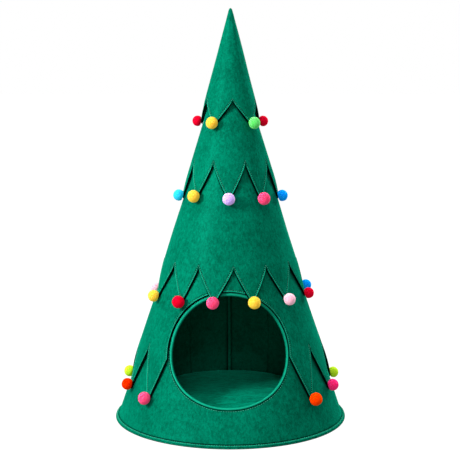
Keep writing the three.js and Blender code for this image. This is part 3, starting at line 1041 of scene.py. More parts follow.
    def outline(self, step: float) -> tuple[np.ndarray, ...]:
        """Lays out the edge as points and the direction in which rows move in from each.

        Each stretch between corners is straight in azimuth and height. A row that is moved in by
        a distance stays parallel to the edge. At a tip it meets the next stretch in a mitre, and
        at a valley it passes nearer, as a curve would. So a point's direction is the stretch's
        normal plus a share of its tangent that runs evenly from one corner's to the other's,
        less what the valley takes off the normal close to it.

        Args:
            step: The longest distance between points.

        Returns:
            azimuth, height, and the change of both for each millimetre in, all one value a point.
        """
        corners = self.corners()
        following = np.roll(corners, -1, axis=0)
        following[-1, 0] += 360.0
        delta = following - corners
        radius = self.radius((corners[:, 1] + following[:, 1]) / 2)
        run = np.stack([np.radians(delta[:, 0]) * radius, delta[:, 1] / math.cos(self.tilt)], -1)
        length = np.linalg.norm(run, axis=-1)
        tangent = run / length[:, None]
        normal = np.stack([-tangent[:, 1], tangent[:, 0]], axis=-1)
        before = np.roll(normal, 1, axis=0)
        mitre = (before + normal) / (1.0 + (before * normal).sum(-1, keepdims=True))
        turns_back = (before * tangent).sum(-1) > self.valley_turn
        shorter = np.minimum(1.0, self.valley_round / np.linalg.norm(mitre, axis=-1))
        mitre = mitre * np.where(turns_back, shorter, 1.0)[:, None]
        after = np.roll(mitre, -1, axis=0)
        start, end = (mitre * tangent).sum(-1), (after * tangent).sum(-1)
        start_cut, end_cut = 1.0 - (mitre * normal).sum(-1), 1.0 - (after * normal).sum(-1)
        counts = np.maximum(1, np.round(length / step)).astype(int)
        stretch = np.repeat(np.arange(len(corners)), counts)
        share = (np.arange(counts.sum()) - np.repeat(np.cumsum(counts) - counts, counts))
        share = share / counts[stretch]
        place = corners[stretch] + share[:, None] * delta[stretch]
        slide = start[stretch] + share * (end - start)[stretch]
        away = np.array([share, 1.0 - share]) * length[stretch]
        near = np.clip(1.0 - away / self.square_run, 0.0, 1.0)
        square = 1.0 - near[0] * start_cut[stretch] - near[1] * end_cut[stretch]
        inward = square[:, None] * normal[stretch] + slide[:, None] * tangent[stretch]
        turn = np.degrees(inward[:, 0] / self.radius(place[:, 1]))
        return place[:, 0], place[:, 1], turn, inward[:, 1] * math.cos(self.tilt)

    def foot_reach(self, azimuth: np.ndarray, height: np.ndarray) -> np.ndarray:
        """Returns the share of its foot's reach that each edge point has.

        It shrinks towards the valleys, which it would close, and is none over the cut-out.

        Args:
            azimuth: Degrees round from the doorway.
            height: Height above the ground.

        Returns:
            The shares, from 0 to 1.
        """
        least = self.valley_reach
        share = np.clip(least + (self.valley - height) / self.reach_run, least, 1.0)
        return share * self.clear_of_cut(azimuth, height)

    def clear_of_cut(self, azimuth: np.ndarray, height: np.ndarray) -> np.ndarray:
        """Tells edge points over the cut-out from the others.

        Args:
            azimuth: Degrees round from the doorway.
            height: Height above the ground.

        Returns:
            0 for points over the cut-out and 1 for those well clear of it.
        """
        if not self.cut_out:
            return np.ones_like(height)
        over, clear = self.cut_margin
        out, _ = self.inside_cut(azimuth, height)
        return np.clip((out - over) / (clear - over), 0.0, 1.0)

    def shaded(self, azimuth: np.ndarray, height: np.ndarray, inset: np.ndarray,
               pressed: np.ndarray) -> np.ndarray:
        """Paints shade over the lips close under a valley.

        Args:
            azimuth: Degrees round from the doorway.
            height: Height above the ground.
            inset: How far in from the edge each row is.
            pressed: The painted shade and highlight of each row.

        Returns:
            The painted shade and highlight of each point.
        """
        near = np.clip(1.0 - (self.valley - height) / self.notch, 0.0, 1.0)
        near = near * self.clear_of_cut(azimuth, height)
        full, end = self.lip
        lip = np.clip((end - inset) / (end - full), 0.0, 1.0)
        return np.maximum(pressed, pressed + (self.notch_shade - pressed) * near * lip)

    def top_azimuths(self, azimuth: np.ndarray, height: np.ndarray) -> np.ndarray:
        """Finds where the columns that start at edge points end at the top edge.

        Args:
            azimuth: Degrees round from the doorway.
            height: Height above the ground.

        Returns:
            The azimuths of their ends: straight up, but fanned out evenly over an arch.
        """
        if not self.level_run:
            return azimuth
        near = np.flatnonzero(azimuth <= self.points[0][0])
        turn, rise = self.fan
        steps = np.hypot(np.diff(azimuth[near]) * turn, rise * np.diff(height[near]))
        share = np.concatenate([[0.0], np.cumsum(steps)])
        fanned = azimuth.copy()
        reach = azimuth[near[-1]] - azimuth[near[0]]
        fanned[near] = azimuth[near[0]] + reach * share / share[-1]
        return fanned

    def build(self) -> bpy.types.Object:
        """Makes the tier as one closed sheet.

        Columns start at points of the zigzag edge. Near it the rows run parallel to the edge, and
        above that each column goes straight to the top edge in azimuth and height.

        Returns:
            The tier.
        """
        azimuth, height, turn, rise = self.outline(self.edge_step)
        inset, depth, pressed = np.array(self.edge).T[:, :, None]
        # Painted shade closes over the lips under each valley
        pressed = self.shaded(azimuth, height, inset, pressed)
        inset = np.where(inset < 0.0, inset * self.foot_reach(azimuth, height), inset)
        edge_azimuth = azimuth + inset * turn
        edge_height = height + inset * rise
        final = self.tip_rows[0][0] if self.is_top else self.top
        end = self.top_azimuths(azimuth, height)
        share = np.linspace(0.0, 1.0, self.rows_up + 1)[1:, None] ** self.crowding
        up_azimuth = edge_azimuth[:1] + share * (end - edge_azimuth[:1])
        up_height = edge_height[:1] + share * (final - edge_height[:1])
        mesh = SheetMesh()
        outside = mesh.points(self.face(up_azimuth[::-1], up_height[::-1], 0.0))
        # The edge's points carry its painted shade and painted highlight
        rim = mesh.points(self.face(edge_azimuth, edge_height, depth), pressed)
        every = slice(None, None, self.inside_step)
        inside = mesh.points(self.face(up_azimuth[every], up_height[every], FELT))
        rows = np.vstack([outside, rim, inside])
        if self.is_top:
            tip_height, tip_radius = np.array(self.tip_rows[1:]).T[:, ::-1, None]
            tip = mesh.points(around(tip_radius, end, tip_height))
            rows = np.vstack([tip, rows])
            poles = np.array([[0.0, 0.0, self.tip_height], [0.0, 0.0, self.inside_tip]])
            top, bottom = mesh.points(poles)
            mesh.quads(rows, round_columns=True)
            mesh.fan(rows[0], top)
            mesh.fan(rows[-1], bottom, flip=True)
        else:
            mesh.quads(rows, round_rows=True, round_columns=True)
        return mesh.build(f"tree_{self.name}")

    def seam(self) -> Pair:
        """Returns the line of stitches along the edge, as a closed run of points and normals."""
        lines = self.outline(self.stitch_step)
        azimuth, height, turn, rise = [np.append(line, line[0]) for line in lines]
        azimuth, height = azimuth + STITCH_INSET * turn, height + STITCH_INSET * rise
        return self.face(azimuth, height, self.stitch_depth), facing(azimuth, self.tilt)

    def make(self, wardrobe: Wardrobe, shell: bpy.types.Object) -> list[bpy.types.Object]:
        """Makes and dresses the tier, its stitches and its felt balls.

        Args:
            wardrobe: The materials.
            shell: The wall that carries it; not used.

        Returns:
            The tier, its stitches and its balls.
        """
        sheet = dress(self.build(), wardrobe.finish(Finish.FELT.value), [self.name])
        sewn = dress(Stitch(EDGE_PITCH).sew(f"{self.name}_stitches", [self.seam()]),
                     wardrobe.finish(Finish.THREAD.value))
        trim = [sewn, *Trim(self).make(wardrobe)]
        flat, area = self.flat()
        return [sheet, *trim]

    def flat(self) -> tuple[tuple[float, float], float]:
        """Returns the cut's flat width and length and its area, in metres.

        Unrolled, the tier is a sector of a ring between its tips and its top edge, less the gaps
        between the points and the cut-out over the doorway.
        """
        lean = math.sin(self.tilt)
        top = max(self.foot - self.slope * self.top, 0.0) / lean * MM
        valley = (self.foot - self.slope * self.valley) / lean * MM
        tips = (self.foot - self.slope * self.lowest) / lean * MM
        half = math.pi * lean
        area = half * (valley ** 2 - top ** 2) + 0.5 * half * (tips ** 2 - valley ** 2)
        if self.cut_out:
            area -= 0.5 * math.pi * self.cut_out.half_width * self.cut_out.half_height * MM * MM
        width = 2 * tips * (math.sin(half) if half < math.pi / 2 else 1.0)
        return (width, tips - top * math.cos(half)), area


# Sewing


@dataclass(frozen=True)
class Stitch:
    """One stitch of the topstitching: an arched length of thread between two needle holes."""

    pitch: float
    filled: float = 0.48  # share of the pitch that is thread
    sides: int = 5
    # Rings along the stitch: place along it from -1 to 1, lift and thread radius.
    rings: Rows = (
        (-1.0, -0.5, 0.2), (-0.62, 0.1, 0.38), (0.0, 0.25, 0.46), (0.62, 0.1, 0.38),
        (1.0, -0.5, 0.2),
    )

    def sew(self, name: str, runs: Sequence[Pair]) -> bpy.types.Object:
        """Sews runs with stitches.

        Each stitch is a tube along the chord between two points of its run: every ring is the
        chord's point, lifted along the normal, plus a circle across the chord.

        Args:
            name: The piece's name.
            runs: For each run its points, with the first again last where it closes, and the
                cloth's normals there.

        Returns:
            All the stitches as one object.
        """
        mesh = SheetMesh()
        along, lift, thick = np.array(self.rings).T
        turn = 2 * np.pi * np.arange(self.sides) / self.sides
        for points, normals in runs:
            steps = np.linalg.norm(np.diff(points, axis=0), axis=-1)
            travelled = np.concatenate([[0.0], np.cumsum(steps)])
            count = round(travelled[-1] / self.pitch)
            middles = (np.arange(count) + 0.5) * travelled[-1] / count
            length = self.filled * self.pitch
            ends = middles + np.array([[-0.5], [0.5]]) * length
            places = np.stack([np.interp(ends, travelled, axis) for axis in points.T], axis=-1)
            up = unit(np.stack([np.interp(middles, travelled, axis) for axis in normals.T], -1))
            chord = unit(places[1] - places[0])
            across = np.cross(chord, up)
            centre = (places[0] + places[1]) / 2
            spine = centre[:, None] + chord[:, None] * (along * length / 2)[:, None]
            spine = spine + up[:, None] * lift[:, None]
            ring = (np.cos(turn)[:, None] * up[:, None, None]
                    + np.sin(turn)[:, None] * across[:, None, None])
            tubes = mesh.points(spine[:, :, None] + thick[:, None, None] * ring)
            mesh.tubes(tubes)
        return mesh.build(name)


# Felt balls


@dataclass(frozen=True)
class FeltBall:
    """A felted wool ball with a flattened back, a little lumpy, as hand-rolled ones are."""

    radius: float
    back: float = 0.65  # share of the radius from the middle to the flattened back
    front: float = 0.97  # and to the front
    rows: int = 22
    columns: int = 36
    lump: float = 0.014  # height of its lumps, as a share of the radius
    waves: int = 18  # that make up its lumps
    wave_range: tuple[float, float] = (1.5, 6.5)  # how many ripples they put round it
    back_soft: float = 0.06  # share of the radius over which it rounds into its back

    def build(self, name: str, place: np.ndarray, outward: np.ndarray,
              seed: int) -> bpy.types.Object:
        """Makes one ball.

        The ball is a sphere r = 1 + lumps in polar angle and turn, its front drawn in a little and
        its back flattened by a soft limit; the lumps are a sum of plane waves.

        Args:
            name: The piece's name.
            place: The ball's middle.
            outward: The way that its front faces.
            seed: Seed of its lumps.

        Returns:
            The ball.
        """
        polar = np.linspace(0.0, np.pi, self.rows + 2)[1:-1, None]
        turn = 2 * np.pi * np.arange(self.columns) / self.columns
        polar, turn = np.broadcast_arrays(polar, turn[None, :])
        sphere = np.stack([np.sin(polar) * np.cos(turn), np.sin(polar) * np.sin(turn),
                           np.cos(polar)], axis=-1)
        poles = np.array([[0.0, 0.0, 1.0], [0.0, 0.0, -1.0]])
        axes = self.axes(outward)
        mesh = SheetMesh()
        rows = mesh.points(self.shaped(sphere, seed) @ axes + place)
        front, back = mesh.points(self.shaped(poles, seed) @ axes + place)
        mesh.quads(rows[::-1], round_columns=True)
        mesh.fan(rows[0], front)
        mesh.fan(rows[-1], back, flip=True)
        return mesh.build(name)

    def shaped(self, sphere: np.ndarray, seed: int) -> np.ndarray:
        """Gives points of the unit sphere the ball's lumpy, pressed form.

        Args:
            sphere: The points.
            seed: Seed of the lumps.

        Returns:
            The points, each moved out by 1 + lump * the mean of the waves sin(k . p + phase), with
            the depth kept above -back by soft * log(1 + exp((depth + back) / soft)).
        """
        random = np.random.default_rng(seed)
        waves = random.normal(size=(self.waves, 3))
        waves = waves * random.uniform(*self.wave_range, (self.waves, 1))
        phases = random.uniform(0.0, 2 * np.pi, self.waves)
        lumps = np.sin(sphere @ waves.T + phases).sum(axis=-1, keepdims=True)
        form = sphere * (1.0 + self.lump * lumps / self.waves ** 0.5)
        depth = form[..., 2]
        depth = np.where(depth > 0.0, depth * self.front, depth)
        past = np.logaddexp(0.0, (depth + self.back) / self.back_soft)
        depth = self.back_soft * past - self.back
        return np.stack([form[..., 0], form[..., 1], depth], axis=-1) * self.radius

    @staticmethod
    def axes(outward: np.ndarray) -> np.ndarray:
        """Returns rows of side, up and outward axes."""
        side = unit(np.cross(np.array([0.0, 0.0, 1.0]), outward))
        return np.stack([side, np.cross(outward, side), outward])


@dataclass
class Trim:
    """The felt balls of one tier, one on each point."""

    tier: Tier
    reach: float = 3.0  # above and below a ball, to find how the felt behind it leans

    def make(self, wardrobe: Wardrobe) -> list[bpy.types.Object]:
        """Makes and dresses the tier's balls.

        Args:
            wardrobe: The materials.

        Returns:
            The balls, in the order of the tier's points.
        """
        pieces = []
        tier = self.tier
        for number, (azimuth, height, size, colour, _) in enumerate(tier.points, 1):
            ball = FeltBall(size / 2)
            label = f"{tier.name[-1]}_{number:02d}"
            low, high = tier.radius(np.array([height - self.reach, height + self.reach]))
            outward = facing(azimuth, math.atan2(low - high, 2 * self.reach))
            radius = (low + high) / 2 + float(ripple(azimuth, height))
            place = around(radius, azimuth, height) + outward * (TOUCH + ball.back * ball.radius)
            seed = 100 * int(tier.name[-1]) + number
            piece = ball.build(f"ball_{label}", place, outward, seed)
            pieces.append(dress(piece, wardrobe.ball(colour), [f"pompom_{label}"]))
        return pieces


# The floor and what lies on it


@dataclass(frozen=True)
class FloorDisc:
    """The round of felt under the hem, turned about the axis from its rounded section."""

    section: Rows = (  # radius, height and painted shade at its rounded edge, under it and under the hem
        (120.0, 0.0, 0.0), (198.6, 0.0, 1.0), (199.6, 0.35, 1.0), (200.0, 1.1, 0.5),
        (200.0, 1.9, 0.0), (199.6, 2.7, 0.1), (198.6, 3.0, 0.4), (120.0, 3.0, 0.0),
    )
    columns: int = 240

    def build(self) -> bpy.types.Object:
        """Makes the disc as a turned section closed by a fan on each face.

        Returns:
            The disc.
        """
        azimuth = 360.0 * np.arange(self.columns) / self.columns
        # The section's third column is painted shade round the disc's edge
        radius, height, pressed = np.array(self.section).T[:, :, None]
        mesh = SheetMesh()
        rows = mesh.points(around(radius, azimuth, height), pressed)
        under, over = mesh.points(np.array([[0.0, 0.0, 0.0], [0.0, 0.0, FELT]]))
        mesh.quads(rows, round_columns=True)
        mesh.fan(rows[0], under, flip=True)
        mesh.fan(rows[-1], over)
        return mesh.build("floor_round")

    def make(self, wardrobe: Wardrobe) -> bpy.types.Object:
        """Makes and dresses the disc.

        Args:
            wardrobe: The materials.

        Returns:
            The disc.
        """
        disc = dress(self.build(), wardrobe.finish(Finish.FELT.value), ["floor_disc"])
        return disc


@dataclass(frozen=True)
class Cushion:
    """The round crowned pad on the floor, drawn in at its seam.

    Its cover is swelled by a cloth simulation under pressure.
    """

    radius: float = 175.0
    waist: float = 21.0  # height of the seam
    top: float = 50.5
    crown: float = 26.5  # how far the top falls away to the side
    power: float = 3.6  # how late it does
    floor: float = 4.2  # height of the underside before it swells
    columns: int = 128
    voxel: float = 6.0  # size of the faces that swell
    pressure: float = 4.0
    frames: int = 20  # that the simulation runs
    quality: int = 6  # its steps in each of them
    cap: float = 4.0  # the farthest that a point may swell
    clearance: float = 2.4  # kept from the wall's inner face
    fill: float = 0.7
    # The section's underside from the middle out: share of the radius, share of the way from the
    # floor up to the waist
    underside: Rows = (
        (0.30, 0.0), (0.60, 0.0), (0.82, 0.0), (0.90, 0.05), (0.955, 0.2), (0.985, 0.5),
    )
    over_rows: int = 26
    over_start: float = 0.04  # share of a quarter turn from the middle to the first of them
    # Hollows where a cat has lain: place across and along, size and depth
    hollows: Rows = (
        (-62.0, -78.0, 70.0, 1.7), (74.0, -52.0, 58.0, 1.4), (12.0, 38.0, 74.0, 1.2),
        (-96.0, 46.0, 48.0, 1.1), (98.0, 58.0, 44.0, 1.0), (8.0, -128.0, 40.0, 1.3),
    )
    hollow_rise: tuple[float, float] = (8.0, 18.0)  # above the waist, where they set in
    groove_depth: float = 2.2  # of the seam round the waist
    groove_half: float = 2.6  # half its width
    groove_side: float = 0.8  # share of the radius beyond which it is drawn in

    def plain(self) -> bpy.types.Object:
        """Makes the unswelled pad: z = top - crown * (r / radius)^power above, drawn in below.

        Returns:
            The pad.
        """
        share = np.sin(np.linspace(self.over_start, 1.0, self.over_rows) * np.pi / 2)[::-1]
        over = np.stack([self.radius * share, self.top - self.crown * share ** self.power], -1)
        rise = self.waist - self.floor
        under = np.array(self.underside) * (self.radius, rise) + (0.0, self.floor)
        profile = np.vstack([under, over])
        azimuth = 360.0 * np.arange(self.columns) / self.columns
        mesh = SheetMesh()
        rows = mesh.points(around(profile[:, :1], azimuth, profile[:, 1:]))
        low, high = mesh.points(np.array([[0.0, 0.0, self.floor], [0.0, 0.0, self.top]]))
        mesh.quads(rows, round_columns=True)
        mesh.fan(rows[0], low, flip=True)
        mesh.fan(rows[-1], high)
        return mesh.build("floor_cushion")

    def build(self, wall: Wall) -> bpy.types.Object:
        """Makes the cushion, swelled and shaped, inside the wall and on the floor disc.

        Args:
            wall: The wall that it must stay clear of.

        Returns:
            The cushion.
        """
        piece = self.plain()
        remesh = piece.modifiers.new("remesh", "REMESH")
        remesh.mode = "VOXEL"
        remesh.voxel_size = self.voxel * MM
        apply_modifiers(piece)
        before = coordinates(piece)
        after = self.swelled(piece, before)
        move = after - before
        far = np.linalg.norm(move, axis=-1, keepdims=True)
        after = before + move * np.minimum(1.0, self.cap * MM / np.maximum(far, TINY))
        after = self.shaped(after / MM, wall) * MM
        piece.data.vertices.foreach_set("co", after.ravel())
        piece.data.polygons.foreach_set("use_smooth", np.ones(len(piece.data.polygons), bool))
        subdivide = piece.modifiers.new("smooth", "SUBSURF")
        subdivide.levels = subdivide.render_levels = 1
        return piece

    def swelled(self, piece: bpy.types.Object, before: np.ndarray) -> np.ndarray:
        """Runs the cloth simulation under pressure.

        Args:
            piece: The remeshed pad.
            before: Its points before.

        Returns:
            Its points after, in metres.
        """
        scene = bpy.context.scene
        cloth = piece.modifiers.new("swell", "CLOTH")
        cloth.settings.use_pressure = True
        cloth.settings.uniform_pressure_force = self.pressure
        cloth.settings.effector_weights.gravity = 0.0
        cloth.settings.quality = self.quality
        cloth.point_cache.frame_start, cloth.point_cache.frame_end = 1, self.frames
        for number in range(1, self.frames + 1):
            scene.frame_set(number)
        apply_modifiers(piece)
        scene.frame_set(1)
        return coordinates(piece)

    def shaped(self, points: np.ndarray, wall: Wall) -> np.ndarray:
        """Adds the hollows and the seam, and keeps the swelled points clear of the tent.

        The hollows are soft bells z -= d * exp(-(distance / size)^2), and the seam is a groove
        round the waist.

        Args:
            points: The swelled points, in millimetres.
            wall: The wall that they stay clear of.

        Returns:
            The points.
        """
        x, y, z = points.T
        low, high = self.hollow_rise
        upper = np.clip((z - self.waist - low) / (high - low), 0.0, 1.0)
        for across, along, size, depth in self.hollows:
            near = np.exp(-((x - across) ** 2 + (y - along) ** 2) / size ** 2)
            z = z - upper * depth * near
        radius = np.hypot(x, y)
        groove = self.groove_depth * np.exp(-((z - self.waist) / self.groove_half) ** 2)
        limit = wall.radius(z) - wall.level_thickness - self.clearance
        side = radius > self.groove_side * self.radius
        scale = np.minimum(radius - groove * side, limit) / np.maximum(radius, TINY)
        return np.stack([x * scale, y * scale, np.maximum(z, FELT + TOUCH)], axis=-1)

    def make(self, wardrobe: Wardrobe, wall: Wall) -> bpy.types.Object:
        """Makes and dresses the cushion.

        Args:
            wardrobe: The materials.
            wall: The wall round it.

        Returns:
            The cushion.
        """
        cushion = dress(self.build(wall), wardrobe.finish(Finish.PILE.value),
                        ["cushion"])
        return cushion


@dataclass(frozen=True)
class SeamTape:
    """The narrow felt tape sewn over the wall's centre back seam, on the inside."""

    width: float = 4.8
    thickness: float = 1.5
    side: float = -2.2  # how far its middle lies from the centre line
    start: float = 30.0  # height of its lower end
    end: float = 470.0  # and of its upper end
    clearance: float = 0.5  # kept from the wall's inner face
    # Its section, once round: by which edge (-1 or 1, or 0 for the middle), how far in from
    # that edge, how far off the wall
    section: Rows = (
        (-1, 0.0, 0.35), (-1, 0.5, 0.0), (1, 0.5, 0.0), (1, 0.0, 0.35), (1, 0.0, 1.05),
        (1, 0.6, 1.4), (0, 0.0, 1.5), (-1, 0.6, 1.4), (-1, 0.0, 1.05),
    )
    rows: int = 60
    sway: float = 0.3  # how far it wanders to the side
    sway_run: float = 47.0  # height for each radian of that

    def build(self, wall: Wall) -> bpy.types.Object:
        """Makes the tape: a rounded section carried up the inside of the wall at the back.

        Args:
            wall: The wall that carries it.

        Returns:
            The tape.
        """
        heights = np.linspace(self.start, self.end, self.rows)[:, None]
        inner = wall.radius(heights) - wall.level_thickness - self.clearance
        inner = inner + ripple(180.0, heights)
        middle = self.side + self.sway * np.sin(heights / self.sway_run)
        edge, inset, off = np.array(self.section).T
        across = edge * (self.width / 2 - inset)
        mesh = SheetMesh()
        rows = mesh.points(np.stack(
            np.broadcast_arrays(middle + across, inner - off, heights), axis=-1))
        spine = np.hstack([middle, inner - self.thickness / 2, heights])
        first, last = mesh.points(spine[[0, -1]])
        mesh.quads(rows, round_columns=True)
        mesh.fan(rows[0], first, flip=True)
        mesh.fan(rows[-1], last)
        return mesh.build("back_seam_tape")

    def make(self, wardrobe: Wardrobe, wall: Wall) -> bpy.types.Object:
        """Makes and dresses the tape.

        Args:
            wardrobe: The materials.
            wall: The wall that it is sewn to.

        Returns:
            The tape.
        """
        return dress(self.build(wall), wardrobe.finish(Finish.TAPE.value),
                     ["seam_tape"])


# The studio


@dataclass(frozen=True)
class Studio:
    """A pale floor, soft lights and the camera of the photograph. Its lengths are metres."""

    distance: float = 2.0  # of the camera in front of the tent
    height: float = 0.5937
    side: float = -0.0008
    pitch: float = 7.65  # degrees that it looks down
    sensor: float = 36.0  # mm
    lens: float = 91.88  # mm
    ambient: float = 0.34  # light from the room all round
    floor_size: float = 60.0
    floor_colour: int = 0xE8E8E8
    floor_glow: float = 1.1
    floor_lit: float = 0.9  # share of the floor's look that is its own light
    aim: tuple[float, float, float] = (0.0, 0.0, 0.3)  # where the lights point
    # Name, azimuth and elevation in degrees, distance and size in metres, watts.
    lights: tuple[tuple[str, float, float, float, float, float], ...] = (
        ("key", -54.0, 24.0, 2.1, 0.5, 45.0), ("top", -15.0, 62.0, 2.4, 0.9, 22.0),
        ("rim", 125.0, 25.0, 2.4, 0.9, 38.0), ("back", 180.0, 60.0, 2.4, 0.9, 20.0),
        ("fill", -5.0, 8.0, 2.4, 0.9, 4.0), ("left_rim", -115.0, 25.0, 2.4, 0.9, 16.0),
    )
    snoot_power: float = 47.0  # watts
    snoot_spread: float = 6.5  # degrees
    snoot_size: float = 0.06
    snoot_place: tuple[float, float, float] = (0.15, -1.66, 0.9)
    snoot_aim: tuple[float, float, float] = (0.0, -0.03, 0.05)

    def camera(self) -> None:
        """Places the camera."""
        data = bpy.data.cameras.new("camera")
        data.sensor_width, data.lens = self.sensor, self.lens
        camera = bpy.data.objects.new("camera", data)
        camera.location = (self.side, -self.distance, self.height)
        camera.rotation_euler = (math.radians(90.0 - self.pitch), 0.0, 0.0)
        bpy.context.scene.collection.objects.link(camera)
        bpy.context.scene.camera = camera

    def hang(self, data: bpy.types.Light, place: Sequence[float], aim: Sequence[float]) -> None:
        """Hangs a light.

        Args:
            data: The light's data.
            place: Where it hangs, in metres.
            aim: What it points at.
        """
        light = bpy.data.objects.new(data.name, data)
        light.location = place
        light.rotation_euler = (Vector(aim) - Vector(place)).to_track_quat("-Z", "Y").to_euler()
        bpy.context.scene.collection.objects.link(light)

    def softbox(self, name: str, azimuth: float, elevation: float, distance: float, size: float,
                power: float) -> None:
        """Adds one square area light aimed at the middle of the tent.

        Args:
            name: The light's name.
            azimuth: Degrees round from the camera's side, positive towards +X.
            elevation: Degrees above the point that it is aimed at.
            distance: How far off, in metres.
            size: Its side, in metres.
            power: Its power in watts.
        """
        data = bpy.data.lights.new(name, "AREA")
        data.size, data.energy = size, power
        rise = math.radians(elevation)
        height = self.aim[2] + distance * math.sin(rise)
        self.hang(data, around(distance * math.cos(rise), azimuth, height), self.aim)

    def snoot(self) -> None:
        """Adds the narrow light that reaches through the doorway to the cushion."""
        data = bpy.data.lights.new("snoot", "SPOT")
        data.energy, data.shadow_soft_size = self.snoot_power, self.snoot_size
        data.spot_size, data.spot_blend = math.radians(self.snoot_spread), 1.0
        self.hang(data, self.snoot_place, self.snoot_aim)

    def floor(self) -> None:
        """Lays the floor, pale and lit from within as a light table is, which lights nothing."""
        bpy.ops.mesh.primitive_plane_add(size=self.floor_size, location=(0.0, 0.0, 0.0))
        floor = bpy.context.object
        floor.name = "floor"
        material, tree = empty_material("pale_floor")
        matt = add_node(tree, "ShaderNodeBsdfDiffuse", Color=linear(self.floor_colour))
        lit = add_node(tree, "ShaderNodeEmission", Strength=self.floor_glow)
        both = add_node(tree, "ShaderNodeMixShader", _0=self.floor_lit, _1=matt.outputs[0],
                        _2=lit.outputs[0])
        add_node(tree, "ShaderNodeOutputMaterial", Surface=both.outputs[0])
        floor.data.materials.append(material)
        floor.visible_diffuse = floor.visible_glossy = False

    def room(self) -> None:
        """Makes the room round the tent: white to look at, and dim as a light."""
        world = bpy.data.worlds.new("white_room")
        bpy.context.scene.world = world
        world.use_nodes = True
        tree = world.node_tree
        seen = add_node(tree, "ShaderNodeLightPath").outputs["Is Camera Ray"]
        strength = add_node(tree, "ShaderNodeMapRange", Value=seen, To_Min=self.ambient, To_Max=1.0)
        background = tree.nodes["Background"]
        background.inputs["Color"].default_value = (1.0, 1.0, 1.0, 1.0)
        tree.links.new(strength.outputs["Result"], background.inputs["Strength"])

    def build(self) -> None:
        """Makes the whole studio."""
        self.camera()
        self.floor()
        self.room()
        for light in self.lights:
            self.softbox(*light)
        self.snoot()
        bpy.context.scene.view_settings.view_transform = "Standard"


# Main


def coordinates(piece: bpy.types.Object) -> np.ndarray:
    """Reads a mesh's points, in metres.

    Args:
        piece: The object that has the mesh.

    Returns:
        One row of x, y and z for each point.
    """
    points = np.empty(3 * len(piece.data.vertices), dtype=np.float32)
    piece.data.vertices.foreach_get("co", points)
    return points.reshape(-1, 3).astype(float)


def apply_modifiers(piece: bpy.types.Object) -> None:
    """Bakes a piece's modifiers into its mesh.

    Args:
        piece: The piece, which gets the new mesh.
    """
    graph = bpy.context.evaluated_depsgraph_get()
    baked = bpy.data.meshes.new_from_object(piece.evaluated_get(graph))
    piece.modifiers.clear()
    piece.data = baked


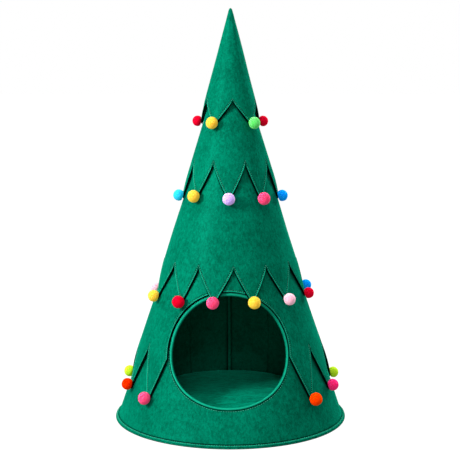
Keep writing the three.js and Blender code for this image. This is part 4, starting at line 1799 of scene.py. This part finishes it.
def tree_tiers(wall: Wall) -> list[Tier]:
    """Lays out the four tiers from the bottom one up.

    Args:
        wall: The wall under them.

    Returns:
        The tiers, each resting on the one before.
    """
    fourth = Tier(
        "tier_4", 202.7, 0.3439, 136.0, 310.0, 5.0, (
            (48.8, 58.8, 21.5, Ball.ORANGE, 58.3), (70.4, 66.9, 20.0, Ball.MAGENTA, 84.0),
            (100.4, 64.5, 19.0, Ball.LIME, 111.5), (122.5, 64.0, 20.0, Ball.BLUE, 133.5),
            (145.0, 65.0, 20.5, Ball.YELLOW, 156.0), (167.0, 63.5, 20.0, Ball.ROSE, 178.0),
            (189.0, 65.0, 20.5, Ball.CYAN, 200.0), (211.0, 64.0, 20.0, Ball.CRIMSON, 222.0),
            (233.5, 65.0, 20.0, Ball.LILAC, 244.5), (255.8, 63.5, 20.0, Ball.LIME, 274.0),
            (287.7, 66.7, 20.0, Ball.EMBER, 298.0), (310.5, 59.8, 21.0, Ball.ROSE, 321.0),
        ), wall, level_run=(-39.0, 36.5, 145.0), cut_out=Doorway(-1.65, 146.3, 104.4, 96.5))
    third = Tier(
        "tier_3", 201.3, 0.3172, 274.5, 478.0, 1.5, (
            (-107.5, 215.5, 19.0, Ball.BLUSH, -88.5), (-69.0, 217.6, 20.0, Ball.YELLOW, -55.1),
            (-38.3, 218.5, 20.5, Ball.CRIMSON, -27.6), (-12.2, 221.5, 20.5, Ball.ROSE, 2.6),
            (16.4, 221.6, 20.5, Ball.YELLOW, 31.0), (45.3, 220.8, 20.0, Ball.BLUSH, 59.5),
            (75.5, 219.9, 18.5, Ball.CRIMSON, 89.5), (103.7, 221.8, 19.5, Ball.BLUE, 118.5),
            (133.5, 220.0, 20.0, Ball.LIME, 148.0), (163.0, 221.0, 20.5, Ball.ROSE, 178.0),
            (192.5, 219.5, 20.0, Ball.LILAC, 207.5), (222.5, 221.0, 20.0, Ball.YELLOW, 237.0),
        ), wall, below=fourth)
    second = Tier(
        "tier_2", 205.5, 0.3124, 442.5, 576.0, 2.0, (
            (-78.0, 385.7, 19.5, Ball.CYAN, -67.5), (-43.4, 388.3, 20.5, Ball.YELLOW, -25.2),
            (-1.8, 386.2, 20.5, Ball.LILAC, 21.8), (38.3, 385.1, 21.0, Ball.ROSE, 65.6),
            (77.4, 385.2, 19.5, Ball.BLUE, 99.0), (126.0, 386.0, 20.0, Ball.LIME, 143.0),
            (161.5, 387.0, 20.5, Ball.CRIMSON, 180.0), (198.5, 385.5, 20.0, Ball.ORANGE, 217.0),
            (234.0, 386.5, 20.0, Ball.LILAC, 262.0),
        ), wall, below=third)
    first = Tier(
        "tier_1", 188.1, 0.2653, 546.0, 697.0, 2.0, (
            (-98.0, 510.6, 18.0, Ball.CRIMSON, -67.8), (-32.6, 509.0, 20.0, Ball.YELLOW, 4.8),
            (43.6, 508.8, 20.0, Ball.LEAF, 75.0), (99.0, 510.2, 18.0, Ball.CRIMSON, 140.0),
            (181.0, 509.5, 19.0, Ball.BLUE, 221.0),
        ), wall, below=second)
    return [fourth, third, second, first]


def main() -> None:
    """Builds the tent and reports each piece."""
    logging.basicConfig(level=logging.INFO, format="%(name)s: %(message)s")
    wardrobe = Wardrobe()
    wall = Wall()
    Studio().build()
    disc = FloorDisc().make(wardrobe)
    cushion = Cushion().make(wardrobe, wall)
    tape = SeamTape().make(wardrobe, wall)
    sewn, shell = wall.make(wardrobe, disc, tape)
    pieces = [disc, cushion, tape, sewn, shell]
    for tier in tree_tiers(wall):
        pieces += tier.make(wardrobe, shell)
    for piece in pieces:
        LOG.info("%s: %d faces", piece.name, len(piece.data.polygons))


if __name__ == "__main__":
    main()
